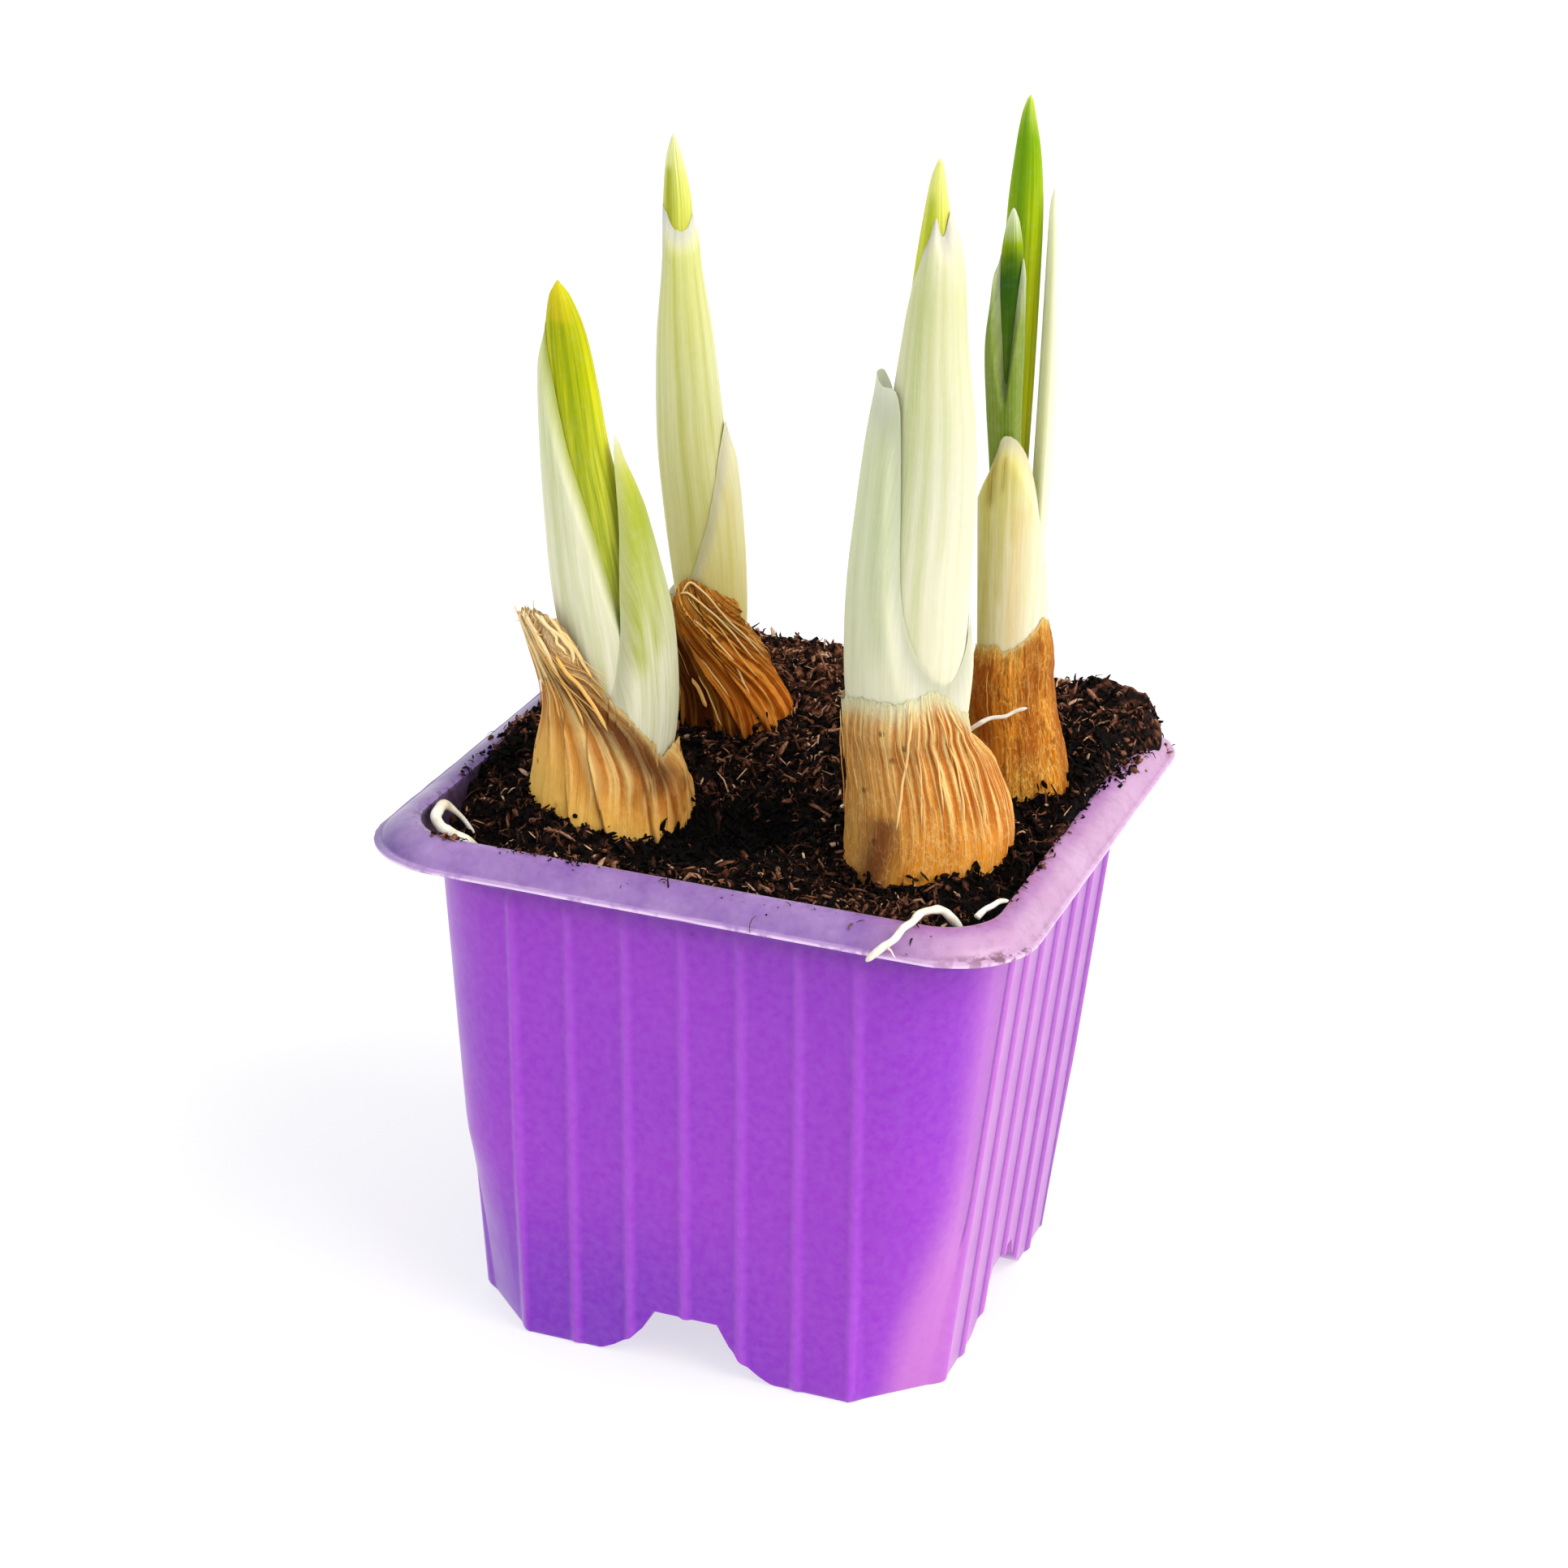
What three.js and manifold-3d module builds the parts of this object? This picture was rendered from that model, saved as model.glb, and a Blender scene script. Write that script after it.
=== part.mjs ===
// A square plastic pot of four sprouting dwarf iris bulbs, heaped with dark peat.
// Millimetres, +Z up, origin at the middle of the pot's base. The front of the pot faces -Y.
// Every plant is laid out in a frame of its own: u to the right, w to the back, turned about Z.

import * as THREE from "three";
import { mergeVertices } from "three/addons/utils/BufferGeometryUtils.js";
import Module from "manifold-3d";

const wasm = await Module();
wasm.setup();

// Driving dimensions of the pot.
const rimSide = 90;
const baseSide = 66.8;
const wallTopSide = 79;
const wallTopZ = 69;
const crestZ = 74.5;
const wall = 1.1;
const cornerStart = 23; // the flat of each side runs this far from its middle
const cornerMargin = 0.22; // share of each corner that the outermost ribs reach into
const cutTopZ = 28; // below this the corners turn from round to cut straight
const mouthHalf = 39.4; // half the opening inside the rim
const ribCount = 7;
const ribPitch = 7.9;
const ribWidth = 2.2;
const ribRise = 0.5;
const footInset = 0.3; // the very foot of the wall is pulled in by this much
const channelZ = 8; // roof of the drainage channels under the floor
const channelProfile = [[12.6, 0], [10.4, 1.2], [7.8, 3.1], [6.2, 4.9], [4.5, channelZ]]; // half width, z
const drainRadius = 3;
const drainReach = 18;
const drainSides = 12;
const seatGap = 0.3; // air left between pieces that rest on each other
const belowFoot = -5; // cutting shapes start here
const aboveHeap = 95; // and end here

// Peat surface, from the low front edge to the heap at the back, with its mounds and hollows.
const soilFrontZ = 70.8;
const soilBackZ = 79.2;
const soilSlopeReach = 36;
const soilReach = 42;
const soilCells = 25;
const soilRoughness = 0.9;
const soilEdgeRise = 0.6;
const soilEdgeSlope = 1.5;
const mounds = [
  { x: 33, y: 33, rise: 2.6, spread: 160 },
  { x: -20, y: 33, rise: 1.8, spread: 120 },
  { x: -36, y: 8, rise: 1.6, spread: 160 },
  { x: 1.5, y: -17, rise: -3.6, spread: 40 }, // pit between the front bulbs
  { x: -35, y: -33, rise: -3.2, spread: 70 }, // hollow in the front left corner
];

// Bulbs, and how their tunics are made.
const bulbColumns = 36;
const bulbLevels = [0, 0.16, 0.32, 0.48, 0.64, 0.8, 0.92, 1];
const cupLevels = [0.98, 0.5, 0];
const fibreRise = 0.45;
const tunicThickness = 0.7;
const shootGap = 0.5;
const bulbTail = 1; // the base plate bulges down by this much
const socketSlack = 0.15;
const socketSides = 24;
const socketLevels = [-1.4, 0, 5, 10, 15, 20, 26];

const sheathThickness = 0.75;
const plantTurn = THREE.MathUtils.degToRad(19.8);
const rootSides = 7;
const rootEntry = 1.5; // a root's hole goes this much deeper than the root

const materials = {
  pot: new THREE.MeshStandardMaterial({ color: 0x9a48cc, roughness: 0.42, metalness: 0 }),
  soil: new THREE.MeshStandardMaterial({ color: 0x2a1a14, roughness: 0.95, metalness: 0 }),
  tunic: new THREE.MeshStandardMaterial({ color: 0xb8813c, roughness: 0.7, metalness: 0 }),
  sheath: new THREE.MeshStandardMaterial({ color: 0xdfe6c4, roughness: 0.5, metalness: 0 }),
  leaf: new THREE.MeshStandardMaterial({ color: 0x9cb526, roughness: 0.45, metalness: 0 }),
  root: new THREE.MeshStandardMaterial({ color: 0xf2eee2, roughness: 0.5, metalness: 0 }),
};

const group = new THREE.Group();

// Small helpers.

const lerp = THREE.MathUtils.lerp;
const radians = THREE.MathUtils.degToRad;

function seededRandom(seed) {
  let state = seed;
  return () => {
    state = (state * 1664525 + 1013904223) % 4294967296;
    return state / 4294967296;
  };
}

// Smooth reading of a hand-drawn outline: rows of [key, value, value, ...] in rising key order.
function readRow(rows, key) {
  const last = rows.length - 1;
  const clamped = Math.min(Math.max(key, rows[0][0]), rows[last][0]);
  let i = 0;
  while (i < last - 1 && clamped > rows[i + 1][0]) i += 1;
  const span = rows[i + 1][0] - rows[i][0];
  const t = (clamped - rows[i][0]) / span;
  const before = rows[Math.max(i - 1, 0)];
  const after = rows[Math.min(i + 2, last)];
  return rows[i].slice(1).map((start, k) => {
    const end = rows[i + 1][k + 1];
    const slopeIn = ((end - before[k + 1]) / (rows[i + 1][0] - before[0])) * span;
    const slopeOut = ((after[k + 1] - start) / (after[0] - rows[i][0])) * span;
    const t2 = t * t;
    const t3 = t2 * t;
    return (
      start * (2 * t3 - 3 * t2 + 1) +
      slopeIn * (t3 - 2 * t2 + t) +
      end * (3 * t2 - 2 * t3) +
      slopeOut * (t3 - t2)
    );
  });
}

function addMesh(name, geometry, material, place) {
  const mesh = new THREE.Mesh(geometry, material);
  mesh.name = name;
  if (place) {
    mesh.position.set(place.x, place.y, 0);
    mesh.rotation.z = plantTurn;
  }
  group.add(mesh);
}

function geometryOf(points, faces) {
  const geometry = new THREE.BufferGeometry().setFromPoints(points);
  geometry.setIndex(faces);
  return geometry;
}

// Skin over rings of equal count, closed by a fan to the first and to the last point given.
function loft(rings, firstPoint, lastPoint) {
  const count = rings[0].length;
  const points = [...rings.flat(), firstPoint, lastPoint];
  const first = points.length - 2;
  const last = points.length - 1;
  const top = (rings.length - 1) * count;
  const faces = [];
  for (let i = 0; i < count; i += 1) {
    const next = (i + 1) % count;
    for (let r = 0; r < rings.length - 1; r += 1) {
      const a = r * count + i;
      const b = r * count + next;
      faces.push(a, b, b + count, a, b + count, a + count);
    }
    faces.push(first, next, i, last, top + i, top + next);
  }
  return geometryOf(points, faces);
}

function centreOf(ring) {
  const sum = ring.reduce((total, p) => total.add(p), new THREE.Vector3());
  return sum.divideScalar(ring.length);
}

function flatLoft(rings) {
  return loft(rings, centreOf(rings[0]), centreOf(rings[rings.length - 1]));
}

function toSolid(geometry) {
  const bare = geometry.clone();
  bare.deleteAttribute("normal");
  bare.deleteAttribute("uv");
  const merged = mergeVertices(bare, 1e-4);
  return new wasm.Manifold(
    new wasm.Mesh({
      numProp: 3,
      vertProperties: merged.attributes.position.array,
      triVerts: new Uint32Array(merged.index.array),
    }),
  );
}

function toGeometry(solid) {
  const mesh = solid.getMesh();
  const geometry = new THREE.BufferGeometry();
  geometry.setAttribute("position", new THREE.BufferAttribute(mesh.vertProperties, 3));
  geometry.setIndex(new THREE.BufferAttribute(mesh.triVerts, 1));
  return geometry;
}

// The pot.

// One level of a square with round corners: flat sides with ribs, and corners that can be cut
// straight, as they are at the foot of the wall.
function squareRing(z, half, radius, options = {}) {
  const { rise = 0, chamfer = 0, ribs = false, cornerSteps = 5 } = options;
  const start = half - radius;
  const sideAt = (x) => {
    const over = Math.max(Math.abs(x) - start, 0);
    const arc = start + Math.sqrt(Math.max(radius ** 2 - over ** 2, 0));
    return -lerp(arc, half - over, chamfer);
  };
  const side = [];
  for (let k = 0; ribs && k < ribCount; k += 1) {
    const x = (k - (ribCount - 1) / 2) * ribPitch;
    const foot = ribWidth / 2;
    const top = ribWidth / 4;
    for (const step of [-foot, -top, top, foot]) {
      side.push([x + step, sideAt(x + step) - (Math.abs(step) < foot ? rise : 0)]);
    }
  }
  const from = ribs ? cornerMargin : 0;
  for (let k = 0; k <= cornerSteps; k += 1) {
    const t = lerp(from, 1 - from, k / cornerSteps);
    const turn = t * (Math.PI / 2);
    const arc = [start + radius * Math.sin(turn), -start - radius * Math.cos(turn)];
    const chord = [start + radius * t, -half + radius * t];
    side.push([lerp(arc[0], chord[0], chamfer), lerp(arc[1], chord[1], chamfer)]);
  }
  const ring = [];
  for (let quarter = 0; quarter < 4; quarter += 1) {
    const c = Math.round(Math.cos((quarter * Math.PI) / 2));
    const s = Math.round(Math.sin((quarter * Math.PI) / 2));
    for (const [x, y] of side) ring.push(new THREE.Vector3(c * x - s * y, s * x + c * y, z));
  }
  return ring;
}

function wallHalf(z) {
  return lerp(baseSide, wallTopSide, z / wallTopZ) / 2;
}

// How far the corners are cut straight: wholly at the foot, not at all above the taper.
function cornerCut(z) {
  return Math.min(Math.max(1 - z / cutTopZ, 0), 1);
}

function wallRing(z, rise, inset = 0) {
  const half = wallHalf(z) - inset;
  return squareRing(z, half, half - cornerStart, { ribs: true, rise, chamfer: cornerCut(z) });
}

function makeWallBody() {
  return flatLoft([
    wallRing(0, ribRise / 2, footInset),
    wallRing(footInset * 2, ribRise),
    wallRing(cutTopZ / 2, ribRise),
    wallRing(cutTopZ, ribRise),
    wallRing(wallTopZ - 2.5, ribRise),
    wallRing(wallTopZ, 0),
    wallRing(wallTopZ + 1.5, 0),
  ]);
}

// The domed rim with its thin trimmed lip, as levels of [z, half side, corner radius].
function makeRimBody() {
  const rimHalf = rimSide / 2;
  const profile = [
    [wallTopZ - 0.6, rimHalf - 5.6, 14],
    [wallTopZ + 1.2, rimHalf - 4.2, 11.5],
    [wallTopZ + 2.0, rimHalf - 1.2, 12],
    [wallTopZ + 2.2, rimHalf - 0.2, 12],
    [wallTopZ + 2.7, rimHalf, 12.1],
    [wallTopZ + 3.1, rimHalf - 0.3, 12],
    [wallTopZ + 3.2, rimHalf - 1.0, 11.6],
    [crestZ - 1.5, rimHalf - 1.6, 11.2],
    [crestZ - 0.4, rimHalf - 3.1, 10],
    [crestZ, rimHalf - 4.6, 8.6],
    [crestZ - 0.1, rimHalf - 5.4, 8],
  ];
  return flatLoft(profile.map(([z, half, radius]) => squareRing(z, half, radius)));
}

// Everything inside the wall, grown or shrunk by an offset, and on up past the heap.
function makeInside(offset) {
  const inner = [wall - offset, cutTopZ / 2, cutTopZ, wallTopZ - 3].map((z) => {
    const half = wallHalf(z) - wall + offset;
    const start = cornerStart - (wall - offset) * (Math.SQRT2 - 1);
    return squareRing(z, half, half - start, { chamfer: cornerCut(z) });
  });
  const upper = [
    [wallTopZ + 1, mouthHalf - 0.7, 11],
    [crestZ - 0.9, mouthHalf, 8],
    [aboveHeap, mouthHalf, 8],
  ].map(([z, half, radius]) => squareRing(z, half + offset, radius + offset));
  return flatLoft([...inner, ...upper]);
}

// A drainage channel, open below, running the whole way under the pot along X.
function makeChannel(grow) {
  const reach = rimSide / 2;
  const halves = [[channelProfile[0][0], belowFoot], ...channelProfile];
  const right = halves.map(([half, z]) => [half + grow, z > 0 ? z + grow : z]);
  const left = right.map(([half, z]) => [-half, z]).reverse();
  const outline = [...right, ...left];
  const ends = [-reach, reach].map((x) => outline.map(([y, z]) => new THREE.Vector3(x, y, z)));
  return flatLoft(ends);
}

function makeCross(grow) {
  const along = makeChannel(grow);
  const across = along.clone().rotateZ(Math.PI / 2);
  return toSolid(along).add(toSolid(across));
}

function makePot() {
  const cavity = toSolid(makeInside(0)).subtract(makeCross(wall));
  let solid = toSolid(makeWallBody()).add(toSolid(makeRimBody()));
  solid = solid.subtract(cavity).subtract(makeCross(0));
  const drainSpots = [[0, 0], [drainReach, 0], [-drainReach, 0], [0, drainReach], [0, -drainReach]];
  for (const [x, y] of drainSpots) {
    const hole = new THREE.CylinderGeometry(drainRadius, drainRadius, 4 * wall, drainSides);
    hole.rotateX(Math.PI / 2).translate(x, y, channelZ + wall / 2);
    solid = solid.subtract(toSolid(hole));
  }
  addMesh("pot", toGeometry(solid), materials.pot);
}

// Leaves and sheaths. Rows are [z, left, right, front, back] of the outer surface.

function toEllipse([left, right, front, back]) {
  return { u: (left + right) / 2, w: (front + back) / 2, a: (right - left) / 2, b: (back - front) / 2 };
}

function ellipseAt(rows, z) {
  return toEllipse(readRow(rows, z));
}

function pointOn(ellipse, angle, z, inset = 0) {
  return new THREE.Vector3(
    ellipse.u + (ellipse.a - inset) * Math.cos(angle),
    ellipse.w + (ellipse.b - inset) * Math.sin(angle),
    z,
  );
}

// A solid rolled leaf: it rises from its first row to its last one and closes in a point.
function rolledLeaf(rows, tip, columns = 12, steps = 9) {
  const rings = [];
  const low = rows[0][0];
  const high = rows[rows.length - 1][0];
  for (let i = 0; i <= steps; i += 1) {
    const z = lerp(low, high, Math.sin((i / steps) * (Math.PI / 2)));
    const ellipse = ellipseAt(rows, z);
    const ring = [];
    for (let k = 0; k < columns; k += 1) ring.push(pointOn(ellipse, (k / columns) * 2 * Math.PI, z));
    rings.push(ring);
  }
  return loft(rings, centreOf(rings[0]), new THREE.Vector3(tip[0], tip[1], tip[2]));
}

// A thin sheath wrapped round the shoot. The top edge is drawn as [degrees, z] points.
function wrappedSheath(rows, edge, thickness = sheathThickness, columns = 14, steps = 7) {
  const points = [];
  const low = rows[0][0];
  const from = edge[0][0];
  const to = edge[edge.length - 1][0];
  const stride = (columns + 1) * (steps + 1);
  for (const inset of [0, thickness]) {
    for (let j = 0; j <= columns; j += 1) {
      const degrees = lerp(from, to, j / columns);
      const high = readRow(edge, degrees)[0];
      for (let i = 0; i <= steps; i += 1) {
        const z = lerp(low, high, i / steps);
        points.push(pointOn(ellipseAt(rows, z), radians(degrees), z, inset));
      }
    }
  }
  const faces = [];
  const quad = (a, b, c, d) => faces.push(a, b, c, a, c, d);
  const at = (j, i, side) => side * stride + j * (steps + 1) + i;
  for (let j = 0; j < columns; j += 1) {
    for (let i = 0; i < steps; i += 1) {
      quad(at(j, i, 0), at(j + 1, i, 0), at(j + 1, i + 1, 0), at(j, i + 1, 0));
      quad(at(j, i, 1), at(j, i + 1, 1), at(j + 1, i + 1, 1), at(j + 1, i, 1));
    }
    quad(at(j, steps, 0), at(j + 1, steps, 0), at(j + 1, steps, 1), at(j, steps, 1));
    quad(at(j, 0, 0), at(j, 0, 1), at(j + 1, 0, 1), at(j + 1, 0, 0));
  }
  for (let i = 0; i < steps; i += 1) {
    quad(at(0, i, 0), at(0, i + 1, 0), at(0, i + 1, 1), at(0, i, 1));
    quad(at(columns, i, 0), at(columns, i, 1), at(columns, i + 1, 1), at(columns, i + 1, 0));
  }
  return geometryOf(points, faces);
}

// Bulbs in their brown fibrous tunics, with a cup at the top that the shoot stands in.

// The tunic's outline at a level: as drawn, or as wide as the shoot that stands in it needs.
function tunicAt(plant, z) {
  const bounds = readRow(plant.bulb.rows, z);
  const room = shootGap + tunicThickness;
  for (const piece of plant.leaves) {
    const [left, right, front, back] = readRow(piece.rows, Math.max(z, plant.bulb.cupZ));
    bounds[0] = Math.min(bounds[0], left - room);
    bounds[1] = Math.max(bounds[1], right + room);
    bounds[2] = Math.min(bounds[2], front - room);
    bounds[3] = Math.max(bounds[3], back + room);
  }
  return toEllipse(z < plant.bulb.cupZ - tunicThickness ? readRow(plant.bulb.rows, z) : bounds);
}

function makeBulb(plant) {
  const { rows, rim, cupZ, seed, fray } = plant.bulb;
  const random = seededRandom(seed);
  const low = rows[0][0];
  const columns = Array.from({ length: bulbColumns }, (unused, k) => {
    const degrees = (k / bulbColumns) * 360;
    const ridge = k % 2 ? fibreRise * (0.5 + 0.5 * random()) : 0;
    const rimZ = readRow(rim, degrees)[0] + (k % 2 ? fray : -0.4 * fray) * (0.4 + 0.6 * random());
    return { angle: radians(degrees), ridge, rimZ };
  });
  const outer = bulbLevels.map((s) =>
    columns.map(({ angle, ridge, rimZ }) => {
      const z = lerp(low, rimZ, s);
      return pointOn(tunicAt(plant, z), angle, z, -ridge * Math.min(1, 2 * s));
    }),
  );
  const inner = cupLevels.map((s) =>
    columns.map(({ angle, rimZ }) => {
      const z = lerp(cupZ, rimZ, s);
      return pointOn(tunicAt(plant, z), angle, z, tunicThickness);
    }),
  );
  const root = centreOf(outer[0]);
  root.z -= bulbTail;
  return loft([...outer, ...inner], root, centreOf(inner[inner.length - 1]));
}

// The plain hole that a bulb stands in, a little wider than the bulb with its fibres.
function makeSocket(plant) {
  const { rows } = plant.bulb;
  const low = rows[0][0];
  const clear = seatGap + fibreRise + socketSlack;
  const levels = socketLevels.map((rise) => {
    const z = low + rise;
    const ellipse = ellipseAt(rows, Math.max(z, low));
    const grow = rise < 0 ? seatGap : clear;
    return Array.from({ length: socketSides }, (unused, k) =>
      pointOn(ellipse, (k / socketSides) * 2 * Math.PI, z, -grow),
    );
  });
  const geometry = flatLoft(levels);
  geometry.rotateZ(plantTurn).translate(plant.x, plant.y, 0);
  return toSolid(geometry);
}

// The four plants: where each bulb stands, and the outlines of its pieces.

const frontLeft = {
  name: "front_left",
  x: -19.3,
  y: -15.2,
  bulb: {
    seed: 11,
    cupZ: 76,
    fray: 1.2,
    rows: [
      [60, -6, 5, -5.5, 5.5],
      [65, -10.4, 9.2, -9, 9],
      [72, -11.9, 10.5, -10.2, 10.2],
      [78, -11.1, 9.9, -9.4, 9.6],
      [84, -10.2, 8.9, -8, 8.4],
      [89, -9.9, 8.4, -6.8, 7.6],
      [95, -11.6, 8, -5.6, 7],
      [99, -13, 7.6, -5, 6.5],
    ],
    rim: [
      [-60, 80.5], [0, 82.5], [30, 80], [70, 81], [110, 86], [140, 92], [165, 98], [190, 99],
      [210, 97], [230, 91], [255, 85], [300, 80.5], [360, 82.5], [390, 80],
    ],
  },
  leaves: [
    {
      name: "leaf",
      kind: "leaf",
      tip: [-8.7, 0, 143.6],
      rows: [
        [76.4, -3.2, 3.6, -3.2, 3.2],
        [88, -4.6, 4.4, -4, 4],
        [100, -6.6, 3.4, -4.2, 4.2],
        [112, -8, 0.9, -3.8, 3.8],
        [122, -9.2, -1.7, -3.4, 3.4],
        [130, -9.8, -3.3, -3, 3],
        [137, -10.2, -5, -2.3, 2.3],
        [141.5, -9.8, -7, -1.3, 1.3],
        [143, -9.1, -8.2, -0.4, 0.4],
      ],
    },
    {
      name: "left_sheath",
      kind: "sheath",
      rows: [
        [76.4, -4.6, 4.8, -4.6, 4.6],
        [88, -6.2, 5.7, -5.4, 5.4],
        [96, -7.8, 5.2, -5.6, 5.6],
        [104, -9.2, 3.6, -5.4, 5.4],
        [112, -10, 2.2, -5, 5],
        [122, -10.8, -0.3, -4.6, 4.6],
        [131, -11.2, -2.2, -4.2, 4.2],
        [138, -11, -3.6, -3.6, 3.6],
      ],
      edge: [[12, 88], [40, 95], [75, 108], [110, 119], [140, 130], [165, 136.5], [185, 138], [205, 135],
        [225, 130.5], [250, 121], [270, 112], [290, 101], [315, 93], [348, 88]],
    },
    {
      name: "right_sheath",
      kind: "sheath",
      rows: [
        [76.4, -5.8, 6, -5.8, 5.8],
        [80, -6.4, 7.5, -6.3, 6.3],
        [86, -7, 8.2, -6.6, 6.6],
        [93, -8, 8, -6.8, 6.8],
        [100, -9.6, 7.1, -6.6, 6.6],
        [107, -10.6, 5.2, -6.2, 6.2],
        [114, -11.4, 3.2, -5.8, 5.8],
        [124, -12, 0.2, -5.2, 5.2],
      ],
      edge: [[-172, 86], [-120, 87.5], [-90, 90], [-70, 99], [-52, 112], [-34, 121.5], [-20, 123.8],
        [0, 120.5], [20, 112], [50, 102], [90, 94], [135, 87.5], [172, 86]],
    },
  ],
};

const backLeft = {
  name: "back_left",
  x: -14.1,
  y: 13.6,
  bulb: {
    seed: 23,
    cupZ: 85.5,
    fray: 1.3,
    rows: [
      [63, -5, 6, -5, 5],
      [69, -8.6, 9.4, -8, 8],
      [76, -8.8, 9.3, -7.6, 8],
      [82, -8.6, 6.3, -7.2, 7],
      [88, -9.4, 3.6, -7, 6.2],
      [95, -10.4, 2.4, -6.8, 5.6],
    ],
    rim: [
      [-60, 90.5], [0, 88.5], [40, 89], [90, 90], [140, 91], [180, 93.5], [215, 96], [250, 95],
      [275, 93], [300, 90.5], [360, 88.5], [400, 89],
    ],
  },
  leaves: [
    {
      name: "leaf",
      kind: "leaf",
      tip: [-9.8, 0, 157.2],
      rows: [
        [85.9, -6, 0, -2.8, 2.8],
        [96, -8, -0.9, -3.2, 3.2],
        [106, -9.6, -1.3, -3.6, 3.6],
        [118, -11, -3, -3.6, 3.6],
        [130, -11.3, -5, -3.2, 3.2],
        [140, -10.9, -6.6, -2.6, 2.6],
        [148, -11, -7.1, -2, 2],
        [154, -10.7, -8.5, -1.2, 1.2],
        [156.6, -10.1, -9.4, -0.4, 0.4],
      ],
    },
    {
      name: "inner_sheath",
      kind: "sheath",
      rows: [
        [85.9, -7.4, 1.2, -4.1, 4.1],
        [96, -9.4, 0.5, -4.6, 4.6],
        [106, -10.9, 0, -5, 5],
        [114, -11.9, -1.3, -5, 5],
        [122, -12.3, -2.4, -4.8, 4.8],
        [131, -12.4, -3.8, -4.4, 4.4],
        [140, -11.9, -5.5, -3.8, 3.8],
        [148, -11.9, -6.2, -3.2, 3.2],
      ],
      edge: [[-172, 147.8], [-140, 147], [-105, 145], [-60, 144.6], [-20, 146.3], [15, 146.6], [60, 144.4],
        [110, 144.8], [145, 146.4], [172, 147.6]],
    },
    {
      name: "outer_sheath",
      kind: "sheath",
      rows: [
        [85.9, -8.6, 2.2, -5.3, 5.3],
        [92, -9.9, 2.1, -5.8, 5.8],
        [98, -10.8, 1.8, -6, 6],
        [104, -11.9, 1.3, -6.1, 6.1],
        [110, -12.7, 0.6, -6.3, 6.3],
        [118.5, -13.5, -0.8, -6.2, 6.2],
      ],
      edge: [[-172, 93], [-110, 96], [-80, 103], [-52, 111], [-28, 116.5], [-8, 118.4], [14, 116], [45, 108],
        [85, 100], [130, 94.5], [172, 93]],
    },
  ],
};

const frontRight = {
  name: "front_right",
  x: 22.4,
  y: -13.9,
  bulb: {
    seed: 37,
    cupZ: 87.5,
    fray: 1.3,
    rows: [
      [59, -5, 8, -6.5, 6.5],
      [64, -8.6, 11, -9.8, 9.8],
      [70, -9.7, 12.2, -10.8, 10.6],
      [76, -9.5, 12.6, -10.4, 10.2],
      [81, -9.5, 11.6, -9.4, 9.2],
      [86, -9.9, 9.7, -8.2, 8.2],
      [90, -10.4, 7.9, -7.5, 7.5],
      [96, -11, 6.9, -7.2, 7.2],
    ],
    rim: [
      [-30, 92], [0, 92.6], [60, 92], [120, 92.4], [180, 94], [215, 92.6], [270, 91.6], [330, 92], [390, 92.3],
    ],
  },
  leaves: [
    {
      name: "leaf",
      kind: "leaf",
      tip: [-1.6, 0, 163.9],
      rows: [
        [87.9, -6.2, 2.4, -3.8, 3.8],
        [100, -7.2, 3.6, -4.6, 4.6],
        [115, -7, 3.6, -4.6, 4.6],
        [130, -5.8, 2.9, -4, 4],
        [140, -4.9, 2.1, -3.4, 3.4],
        [150, -4.1, 1.1, -2.7, 2.7],
        [157, -3.3, 0, -1.8, 1.8],
        [161.5, -2.6, -0.8, -0.9, 0.9],
        [163.3, -2, -1.2, -0.4, 0.4],
      ],
    },
    {
      name: "inner_sheath",
      kind: "sheath",
      rows: [
        [87.9, -7.4, 3.7, -5.1, 5.1],
        [100, -8.6, 5.2, -6, 6],
        [110, -8.5, 5.2, -6, 6],
        [120, -7.8, 5.3, -5.8, 5.8],
        [130, -7, 4.8, -5.4, 5.4],
        [140, -6.1, 3.3, -4.6, 4.6],
        [150, -5.3, 2.3, -3.9, 3.9],
        [157.6, -4.5, 1.2, -3, 3],
      ],
      edge: [[-187, 118], [-165, 138], [-143, 150.5], [-120, 154], [-95, 156.8], [-70, 154.6], [-40, 156.9],
        [-15, 157.4], [20, 154], [60, 151], [100, 148], [135, 138], [157, 118]],
    },
    {
      name: "outer_sheath",
      kind: "sheath",
      rows: [
        [87.9, -8.8, 5.2, -6.5, 6.5],
        [92, -9.8, 6, -7, 7],
        [97, -10.4, 6.5, -7.3, 7.3],
        [104, -10.7, 6.5, -7.3, 7.3],
        [111, -10.6, 6.3, -7.1, 7.1],
        [120, -9.9, 6.2, -7, 7],
        [129, -9.1, 5.8, -6.6, 6.6],
        [137, -8.7, 5, -6, 6],
      ],
      edge: [[8, 96], [40, 98], [75, 104], [105, 116], [130, 130], [155, 136], [180, 137], [205, 135.8],
        [232, 134], [244, 124], [262, 108], [290, 99], [325, 96.5], [352, 96]],
    },
  ],
};

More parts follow.
